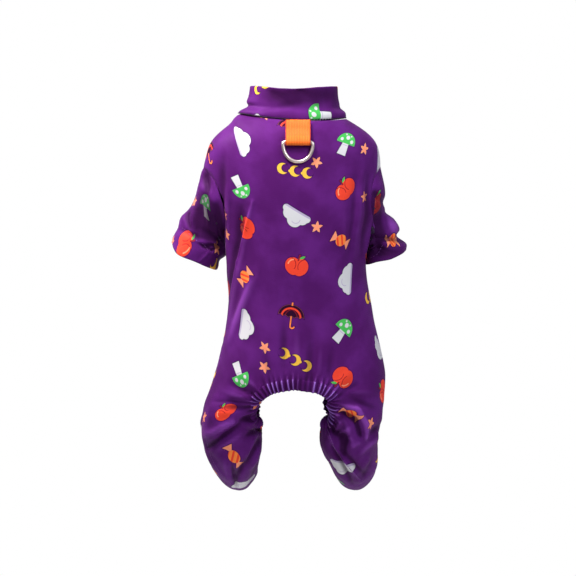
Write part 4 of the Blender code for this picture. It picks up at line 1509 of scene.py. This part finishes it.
sleeveLook = {
    "levels": 3,
    "slack": [(60, 0.0), (95, 0.25), (160, 0.35)],
    "leftPattern": (0.0015, -0.0194),
    "rightPattern": (0.0045, 0.119),
    "left": [
        (208, 166, 206, 200, 4.0, -2.2),
        (192, 207, 191, 228, 1.9, -2.4),
        (200, 196, 208, 244, 6.0, -3.4),
        (209, 200, 214, 240, 5.0, -3.4),
        (197, 212, 197, 238, 4.0, -2.0),
        (206, 176, 206, 196, 3.0, -2.0),
        (186, 208, 182, 226, 3.6, 2.4),
        (203, 204, 207, 232, 1.6, 1.2),
        (217, 206, 219, 250, 4.4, -4.4),
        (197, 243, 211, 251, 1.5, -1.8),
        (211, 251, 221, 245, 1.5, -1.8),
        (209, 252, 199, 262, 1.3, 1.2),
        (200, 186, 214, 200, 4.0, 1.2),
        (184, 230, 200, 240, 3.0, -1.3),
    ],
    "leftFans": [(224, 246, 160, 262, 3.2, 8, 46, 1.1)],
    "leftMoves": [
        (203, 170, 10, -3.0, 0.0),
        (189, 216, 12, -6.0, 0.0),
        (177, 234, 9, -1.5, 0.0),
        (221, 234, 14, 3.6, 0.0),
        (222, 256, 9, 2.0, -2.0),
        (221.5, 263, 4, -2.6, -1.4),
        (182, 257, 11, -6.0, 0.6),
        (171, 243, 4, 1.6, 0.0),
    ],
    "right": [
        (378, 180, 384, 206, 4.0, 1.2),
        (376, 194, 396, 209, 3.2, -3.2),
        (386, 214, 396, 236, 4.6, 2.8),
        (374, 238, 404, 240, 2.8, -3.2),
        (378, 196, 377, 254, 7.0, -6.0),
        (384, 248, 402, 247, 3.0, 1.4),
        (370, 254, 402, 256, 7.0, -2.0),
        (384, 212, 386, 232, 3.0, -1.4),
    ],
    "rightFans": [(364, 252, -85, 15, 3.0, 8, 44, 1.1)],
    "rightMoves": [
        (376, 264, 15, 0.0, -5.0),
        (398, 259, 9, 1.0, -1.6),
        (370, 226, 15, -6.0, 0.0),
        (387, 203, 5, -2.4, 0.0),
        (391, 212, 5, -4.0, 0.0),
        (399, 226, 6, 1.4, 0.0),
        (402, 235.5, 4, -5.0, 0.0),
        (404, 244, 5, 2.6, 0.0),
    ],
}


def sleeveRingPlace(ring, side, turn):
    _, out, drop, forward, width, lean, tilt, depth = ring
    sign, reach = signs[side], suit["sleeveReach"]
    middle = bodyPoint(sign * suit["armholeAngle"], -suit["armholeDrop"])
    centre = middle + Vector((sign * out * reach, forward * suit["armholeDepth"], -drop * reach))
    lean, tilt = math.radians(lean), math.radians(tilt)
    outer = Vector((sign * math.sin(lean), 0, math.cos(lean))) * math.cos(turn) * width
    behind = Vector((0, -math.cos(tilt), -math.sin(tilt))) * math.sin(turn) * depth
    return centre + outer * suit["cuffWidth"] / 2 + behind * suit["armholeDepth"] / 2


def buildSleeve(side):
    # the print meets itself under the arm
    under = cage["armhole"] + cage["armholeRows"] + cage["armhole"] // 2
    ring = armholeRing(side)
    ring = ring[under:] + ring[:under]
    rings = suit["sleeveRings"][side]
    mesh = bmesh.new()
    rows, columns = cage["sleeveRows"], len(ring)
    vertices = addGrid(mesh, columns, rows)
    knots = [0.0] + [row[0] for row in rings]
    for (column, row), vertex in vertices.items():
        turn, _, _, start = ring[column % columns]
        places = [start] + [sleeveRingPlace(r, side, turn) for r in rings]
        vertex.co = splineValue(knots, places, row / rows)
    flats = {}
    startX, startY = sleeveLook[side + "Pattern"]
    fallen = [0.0] * (columns + 1)
    for row in range(rows + 1):
        walked = 0
        for column in range(columns + 1):
            vertex = vertices[column, row]
            if column:
                walked += (vertex.co - vertices[column - 1, row].co).length
            if row:
                fallen[column] += (vertex.co - vertices[column, row - 1].co).length
            flats[vertex] = (startX + walked, startY - fallen[column])
    drawPattern(mesh, mesh.faces, flats)
    joinSides(mesh, vertices, columns)
    faceOutwards(mesh, sum((v.co for v in mesh.verts), Vector()) / len(mesh.verts))
    obj = newObject("sleeveCloth_" + side, mesh, [sleeveJersey, jerseyBack])
    subdivide(obj, sleeveLook["levels"])
    pressCreases(obj, sleeveLook[side], sleeveLook[side + "Fans"])
    slackCloth(obj, sleeveLook["slack"], 7)
    nudgeCloth(obj, sleeveLook[side + "Moves"])
    addWall(obj, suit["clothWall"])
    return obj


sleeves = {side: buildSleeve(side) for side in sides}
print("sleeves made")

collarLook = {
    "width": 0.088,
    "depth": 0.074,
    "height": 0.0315,
    "wall": 0.0026,
    "rimSaddle": 0.002,
    # how much the swell is thinner on the left and fuller on the right, at what rise, how high
    "thinLeft": (0.42, 0.23, 0.12),
    "fullRight": (0.22, 0.22, 0.07),
    # rise, flare
    "rows": [
        (0.00, 0.97),
        (0.08, 1.03),
        (0.16, 0.88),
        (0.24, 0.52),
        (0.32, 0.24),
        (0.45, 0.13),
        (0.70, 0.06),
        (1.00, 0.00),
    ],
    # where the outer layer, the fold and the inner layer end, as shares of the way round
    "turns": (0.44, 0.56, 0.96),
    "ends": (0.02, 0.97),
    # on the flat print: middle, radius, low edge, height, and how much higher the inner layer is
    "pattern": (-0.032, 0.045, 0.087, 0.030, 0.2),
    "slack": [(-40, 0.12), (-10, 0.30), (0, 0.0)],
    "columns": 200,
    "around": 44,
    # strength, middle and reach of the painted shade on the cloth above the swell
    "shade": (0.36, 302, 96, 42, 9),
    "moves": [
        (258, 84, 24, 0, -1.5),
        (326, 84, 24, 0, -1.5),
        (250, 104, 5, -2.2, 0),
        (340, 104, 5, 0.8, 0),
    ],
    "creases": [
        (270, 97, 334, 96, 11.0, -1.5),
        (268, 91, 288, 104, 3.4, -1.0),
        (300, 92, 320, 106, 3.6, -1.0),
        (276, 108, 300, 104, 3.0, -0.7),
        (252, 111, 330, 114, 2.6, 0.7),
    ],
}


def collarPlace(angle, rise, inset):
    # inset is how far the place lies inside the outer face
    low = seamHeight(angle) + 0.0004
    turn, ahead = math.sin(math.radians(angle)), math.cos(math.radians(angle))
    high = collarLook["height"] + collarLook["rimSaddle"] * (turn**2 - 1)
    seam = bodyPoint(angle, 0)
    rim = Vector((collarLook["width"] / 2 * turn, -collarLook["depth"] / 2 * ahead, 0))
    rows = collarLook["rows"]
    flare = splineValue([r[0] for r in rows], [r[1] for r in rows], rise)
    for key, sign in (("thinLeft", -1), ("fullRight", 1)):
        share, middle, reach = collarLook[key]
        swell = share * max(0, sign * turn) ** 2 * math.exp(-(((rise - middle) / reach) ** 2))
        flare += sign * swell
    place = rim.lerp(seam, flare)
    out = Vector((place.x, place.y, 0)).normalized()
    place -= out * inset
    place.z = low + (high - low) * rise
    return place


def buildCollar():
    mesh = bmesh.new()
    columns, around = collarLook["columns"], collarLook["around"]
    vertices = addGrid(mesh, columns, around)
    wall = collarLook["wall"]
    outer, fold, inner = collarLook["turns"]
    low, high = collarLook["ends"]
    middle, radius, lowEdge, height, lift = collarLook["pattern"]
    flats = {}
    for (column, row), vertex in vertices.items():
        angle = -180 + 360 * column / columns
        turn = row / around
        if turn < outer:
            rise, inset = low + (high - low) * turn / outer, 0
        elif turn < fold:
            arc = math.pi * (turn - outer) / (fold - outer)
            rise = high + (1 - high) * math.sin(arc)
            inset = wall / 2 * (1 - math.cos(arc))
        elif turn < inner:
            rise, inset = high - (high - low) * (turn - fold) / (inner - fold), wall
        else:
            arc = (turn - inner) / (1 - inner)
            rise, inset = low * (1 - math.sin(math.pi * arc)), wall * (1 - arc)
        vertex.co = collarPlace(angle, rise, inset)
        up = lowEdge + rise * height + (lift if turn > 0.5 else 0)
        flats[vertex] = (middle - math.radians(angle) * radius, up)
    drawPattern(mesh, mesh.faces, flats)
    joinSides(mesh, vertices, columns)
    bmesh.ops.remove_doubles(mesh, verts=mesh.verts[:], dist=1e-6)
    bmesh.ops.recalc_face_normals(mesh, faces=mesh.faces[:])
    obj = newObject("collarCloth", mesh, [jersey])
    pressCreases(obj, collarLook["creases"])
    nudgeCloth(obj, collarLook["moves"])
    # painted shade: the middle of the standing collar is darkened
    strength, middleX, middleY, reachX, reachY = collarLook["shade"]
    x, y = seenFromBack(readPlaces(obj.data))
    away = ((x - middleX) / reachX) ** 4 + ((y - middleY) / reachY) ** 2
    paintFoldLightAndShade(obj.data, -strength * np.exp(-away))
    slackCloth(obj, collarLook["slack"], 5)
    return obj


collarCloth = buildCollar()

loopLook = {
    "width": 0.025,
    "wall": 0.0013,
    "length": 0.0245,
    "offset": 0.004,
    "drop": 0.0035,
    "ringWire": 0.0036,
    "ringDepth": 0.0200,
    "ringCorner": 0.12,
    "ringBulge": 0.06,
    "ringFaces": (160, 20),
    "clearance": 0.0006,
    "restGap": 0.0003,
    "steps": (15, 22),
    # how far down the two layers lie on each other
    "flat": 0.42,
    "columns": 24,
    # how much the selvedges wander, as a share of the width, and how full the web's middle is
    "wander": 0.012,
    "crown": 0.00010,
    "edge": 0.0003,
}
barRadius = loopLook["ringWire"] / 2 + loopLook["clearance"] + loopLook["wall"] / 2


def loopFrame(drop):
    angle = math.degrees(math.asin(loopLook["offset"] / (suit["bodyWidth"] / 2)))
    here = bodyPoint(angle, -drop)
    down = bodyPoint(angle, -drop - 0.002) - here
    down.x = 0
    down.normalize()
    return Vector((loopLook["offset"], here.y, here.z)), Vector((0, down.z, -down.y))


def ringPivot():
    place, out = loopFrame(loopLook["drop"] + loopLook["length"] - barRadius)
    return place + out * (loopLook["restGap"] + loopLook["wall"] / 2 + barRadius)


def buildLoop():
    straight = loopLook["length"] - 2 * barRadius
    wall, rest = loopLook["wall"], loopLook["restGap"]
    strap, fold = loopLook["steps"]
    inner, outer = [], []
    for i in range(strap):
        share = i / (strap - 1)
        place, out = loopFrame(loopLook["drop"] + straight * share)
        inner.append(place + out * (rest + wall / 2))
        tilt = max(0, (share - loopLook["flat"]) / (1 - loopLook["flat"]))
        spread = wall + rest + (2 * barRadius - wall) * tilt**1.4 * (1.6 - 0.6 * tilt)
        outer.append(place + out * (rest + wall / 2 + spread))
    pivot = ringPivot()
    _, out = loopFrame(loopLook["drop"] + loopLook["length"] - barRadius)
    down = Vector((0, out.z, -out.y))
    if down.z > 0:
        down.negate()
    turned = []
    for i in range(1, fold):
        turn = math.radians(-90 + 180 * i / fold)
        turned.append(pivot + (out * math.sin(turn) + down * math.cos(turn)) * barRadius)
    path = inner + turned + outer[::-1]
    walked = walkAlong(path)
    mesh = bmesh.new()
    columns, rows = loopLook["columns"], len(path) - 1
    vertices = addGrid(mesh, columns, rows)
    flats = {}
    for (column, row), vertex in vertices.items():
        share = column / columns * 2 - 1
        # the selvedges are a little thinner and wander a little
        edge = 1 - loopLook["wander"] * (1 + math.sin(walked[row] * 900)) / 2
        ahead = path[min(row + 1, rows)] - path[max(row - 1, 0)]
        across = Vector((0, -ahead.z, ahead.y)).normalized()
        crown = loopLook["crown"] * math.sin(math.pi * (share + 1) / 2)
        x = share * loopLook["width"] / 2
        vertex.co = path[row] + Vector((x * edge, 0, 0)) + across * crown
        flats[vertex] = (x, walked[row])
    drawPattern(mesh, mesh.faces, flats)
    bmesh.ops.recalc_face_normals(mesh, faces=mesh.faces[:])
    obj = newObject("webbingLoop", mesh, [orangeWeave])
    modifier = obj.modifiers.new("wall", "SOLIDIFY")
    modifier.thickness = wall * 0.94
    modifier.offset = 0
    bevel = obj.modifiers.new("edge", "BEVEL")
    bevel.width = loopLook["edge"]
    bevel.segments = 2
    bevel.angle_limit = math.radians(60)
    return obj


webbingLoop = buildLoop()


def buildRing():
    pivot = ringPivot()
    lowPlace, lowOut = loopFrame(-pivot.z + loopLook["ringDepth"])
    rest = lowPlace + lowOut * (loopLook["restGap"] + loopLook["ringWire"] / 2) - pivot
    rest.x = 0
    rest.normalize()
    half = loopLook["width"] / 2 + loopLook["clearance"] + loopLook["ringWire"] / 2
    corner = loopLook["ringCorner"] * half
    # the straight bar, then the bow
    points = [((half - corner) * (2 * i / 16 - 1), 0) for i in range(16)]
    for i in range(81):
        turn = math.pi * i / 80
        across = half * math.cos(turn) * (1 + loopLook["ringBulge"] * math.sin(turn) ** 2)
        points.append((across, corner + (loopLook["ringDepth"] - corner) * math.sin(turn)))
    count, around = loopLook["ringFaces"]
    (path,), _, _ = resampleLoop(np.array(points), [], count)
    path = smoothLoop(path, 4)
    ahead = unit(np.roll(path, -1, 0) - np.roll(path, 1, 0))
    mesh = bmesh.new()
    vertices = addGrid(mesh, count, around)
    sideways = Vector((1, 0, 0))
    face = sideways.cross(rest).normalized()
    for (column, row), vertex in vertices.items():
        x, y = path[column % count]
        dx, dy = ahead[column % count]
        turn = 2 * math.pi * row / around
        normal = sideways * dy - rest * dx
        ringOut = (normal * math.cos(turn) + face * math.sin(turn)) * loopLook["ringWire"] / 2
        vertex.co = pivot + sideways * x + rest * y + ringOut
    joinSides(mesh, vertices, count)
    bmesh.ops.remove_doubles(mesh, verts=mesh.verts[:], dist=1e-7)
    bmesh.ops.recalc_face_normals(mesh, faces=mesh.faces[:])
    return newObject("ringWire", mesh, [platedRing])


ringWire = buildRing()
print("collar, loop and ring made")

# length, gap and radius of the stitches, in metres
stitchLook = {
    "collar": (0.0015, 0.0016, 0.00055),
    "sleeveHem": (0.0024, 0.0012, 0.00022),
    "legSeam": (0.0022, 0.0005, 0.00034),
    "legHem": (0.0024, 0.0012, 0.00024),
    # where the collar is sewn, as rise, inset and steps, and the hems, as shares of the way down
    "collarAt": (0.025, -0.0001, 320),
    "sleeveHemAt": 0.80,
    "legHemAt": 0.93,
    # inner leg seams as the back is looked at, in millimetres
    "right": [(327, 428), (331, 439), (335.4, 449), (341.8, 459), (351, 470), (361, 481)],
    "left": [(206, 436), (208.5, 448), (213, 461), (221, 474), (231, 484)],
}


def sewLine(mesh, places, normals, kind):
    # a row of short stitches along places, each lying on the cloth
    length, gap, radius = stitchLook[kind]
    walked = walkAlong(places)
    lay = Matrix.Rotation(math.pi / 2, 4, "Y")
    at = gap
    while at + length < walked[-1]:
        ends = []
        for stop in (at, at + length):
            i = max(0, min(len(places) - 2, int(np.searchsorted(walked, stop)) - 1))
            share = (stop - walked[i]) / max(1e-9, walked[i + 1] - walked[i])
            ends.append(places[i].lerp(places[i + 1], share))
            normal = Vector(normals[i])
        run = (ends[1] - ends[0]).normalized()
        across = normal.cross(run).normalized()
        up = run.cross(across)
        axes = Matrix((run, across, up)).transposed().to_4x4()
        size = Matrix.Diagonal((length / 2 + radius * 0.6, radius, radius * 0.75, 1))
        spot = Matrix.Translation((ends[0] + ends[1]) / 2 + up * radius * 0.25) @ axes @ size @ lay
        bmesh.ops.create_uvsphere(mesh, u_segments=6, v_segments=4, radius=1, matrix=spot)
        at += length + gap


def clothTree(obj):
    mesh = bmesh.new()
    mesh.from_mesh(obj.data)
    tree = BVHTree.FromBMesh(mesh)
    mesh.free()
    return tree


def layOn(tree, places):
    hits = [tree.find_nearest(place) for place in places]
    return [h[0] for h in hits], [h[1] for h in hits]


def buildCollarStitches():
    # along the collar's lower edge
    rise, inset, steps = stitchLook["collarAt"]
    places = [collarPlace(angle, rise, inset) for angle in np.linspace(-180, 180, steps)]
    normals = [Vector((p.x, p.y, 0)).normalized() for p in places]
    mesh = bmesh.new()
    sewLine(mesh, places, normals, "collar")
    return newObject("collarStitches", mesh, [darkThread])


collarStitches = buildCollarStitches()


def buildHemStitches():
    mesh = bmesh.new()
    for side in sides:
        tree = clothTree(sleeves[side])
        rings = suit["sleeveRings"][side]
        knots = [0.0] + [row[0] for row in rings]
        ring = armholeRing(side)
        ends = []
        for turn, _, _, start in ring + ring[:1]:
            places = [start] + [sleeveRingPlace(r, side, turn) for r in rings]
            ends.append(splineValue(knots, places, stitchLook["sleeveHemAt"]))
        sewLine(mesh, *layOn(tree, ends), "sleeveHem")
    return newObject("hemStitches", mesh, [purpleThread])


hemStitches = buildHemStitches()


def buildLegSeams():
    tree = clothTree(backPanel)
    mesh = bmesh.new()
    for side in sides:
        stops = stitchLook[side]
        knots = [float(i) for i in range(len(stops))]
        places, normals = [], []
        for at in np.linspace(0, len(stops) - 1, 60):
            x = splineValue(knots, [p[0] for p in stops], at)
            y = splineValue(knots, [p[1] for p in stops], at)
            start = Vector(((x - seenMiddle[0]) / 1000, -1, (seenMiddle[1] - y) / 1000))
            place, normal, _, _ = tree.ray_cast(start, Vector((0, 1, 0)))
            if place is not None:
                places.append(place)
                normals.append(normal)
        sewLine(mesh, places, normals, "legSeam")
        rings = suit["legRings"][side]
        knots, ends = [ring[0] for ring in rings], []
        for turn in range(0, 362, 6):
            places = [legRingPoint(ring, signs[side], turn) for ring in rings]
            ends.append(splineValue(knots, places, stitchLook["legHemAt"]))
        sewLine(mesh, *layOn(tree, ends), "legHem")
    return newObject("legStitches", mesh, [purpleThread])


legStitches = buildLegSeams()
print("stitches sewn")

clothPieces = (backPanel, bellyPanel, seatGathers, collarCloth, *sleeves.values())
for piece in (*clothPieces, webbingLoop, collarStitches, hemStitches, legStitches):
    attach(piece, "garment")
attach(ringWire, "ring")
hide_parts("back_panel", "leg_left", "leg_right")
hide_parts("belly_panel")
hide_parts("seat_casing")
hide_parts("collar")
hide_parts("leash_loop")
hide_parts("d_ring")
for side, sleeve in sleeves.items():
    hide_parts("sleeve_" + side)

stageLook = {
    "floorDrop": 1.02,
    "floorSize": 5,
    "lift": 0.5,
    "paper": paint(250, 250, 250),
    "ambient": (0.05, 0.36),
    "ambientReach": 0.7,
    "cameraDistance": 12.0,
    # width that the picture shows, and what its middle looks at
    "seenWidth": 0.576,
    "aim": (-0.006, -0.16925),
    "sensor": 36,
    # name, place, aim, size, power, colour
    "lamps": [
        ("keyBox", (-0.27, -0.42, 0.66), (0, 0, -0.10), (0.22, 0.22), 9.8, (1, 0.97, 0.93)),
        ("fillBox", (1.05, -1.45, 1.05), (0, 0, -0.17), (0.7, 0.7), 27, (0.86, 0.91, 1)),
        ("rimBox", (-0.47, 0.03, 0.42), (0, 0, -0.10), (0.22, 0.30), 8.0, (1, 0.9, 0.95)),
    ],
}


def buildStage():
    mesh = bmesh.new()
    bmesh.ops.create_grid(mesh, x_segments=8, y_segments=8, size=stageLook["floorSize"])
    bmesh.ops.translate(mesh, verts=mesh.verts, vec=(0, 0, -stageLook["floorDrop"]))
    material, tree, shader = newMaterial("palePaper")
    # the floor is lifted towards white for the camera only, as the backdrop is
    seen = tree.nodes.new("ShaderNodeLightPath").outputs["Is Camera Ray"]
    values = {
        "Base Color": stageLook["paper"],
        "Roughness": 0.9,
        "Emission Color": (1, 1, 1, 1),
        "Emission Strength": times(seen, stageLook["lift"]),
    }
    setInputs(shader, values)
    newObject("paperFloor", mesh, [material])


def addLamp(name, place, aim, size, power, colour):
    lamp = bpy.data.lights.new(name, "AREA")
    lamp.shape = "RECTANGLE"
    lamp.size, lamp.size_y = size
    lamp.energy = power
    lamp.color = colour
    obj = bpy.data.objects.new(name, lamp)
    obj.location = place
    obj.rotation_euler = (Vector(place) - Vector(aim)).to_track_quat("Z", "Y").to_euler()
    bpy.context.scene.collection.objects.link(obj)


def lightScene():
    scene = bpy.context.scene
    world = bpy.data.worlds.new("studio")
    world.use_nodes = True
    tree = world.node_tree
    # the backdrop is lit on its own to plain white, brighter than the light that it gives
    seen = tree.nodes.new("ShaderNodeLightPath").outputs["Is Camera Ray"]
    _, _, up = splitVector(tree.nodes.new("ShaderNodeTexCoord").outputs["Generated"])
    low, high = stageLook["ambient"]
    reach = stageLook["ambientReach"]
    ambient = plus(times(addRamp(up, -reach, reach), high - low), low)
    setInputs(tree.nodes["Background"], {"Color": (1, 1, 1, 1), "Strength": larger(seen, ambient)})
    scene.world = world
    scene.view_settings.view_transform = "Standard"
    for row in stageLook["lamps"]:
        addLamp(*row)
    camera = bpy.data.cameras.new("camera")
    viewer = bpy.data.objects.new("camera", camera)
    scene.collection.objects.link(viewer)
    distance, sensor = stageLook["cameraDistance"], stageLook["sensor"]
    camera.lens = sensor * distance / stageLook["seenWidth"]
    camera.sensor_width = sensor
    camera.clip_end = 5 * distance
    viewer.location = (stageLook["aim"][0], -distance, stageLook["aim"][1])
    viewer.rotation_euler = (math.pi / 2, 0, 0)
    scene.camera = viewer


buildStage()
lightScene()
print("stage, lamps and camera set")
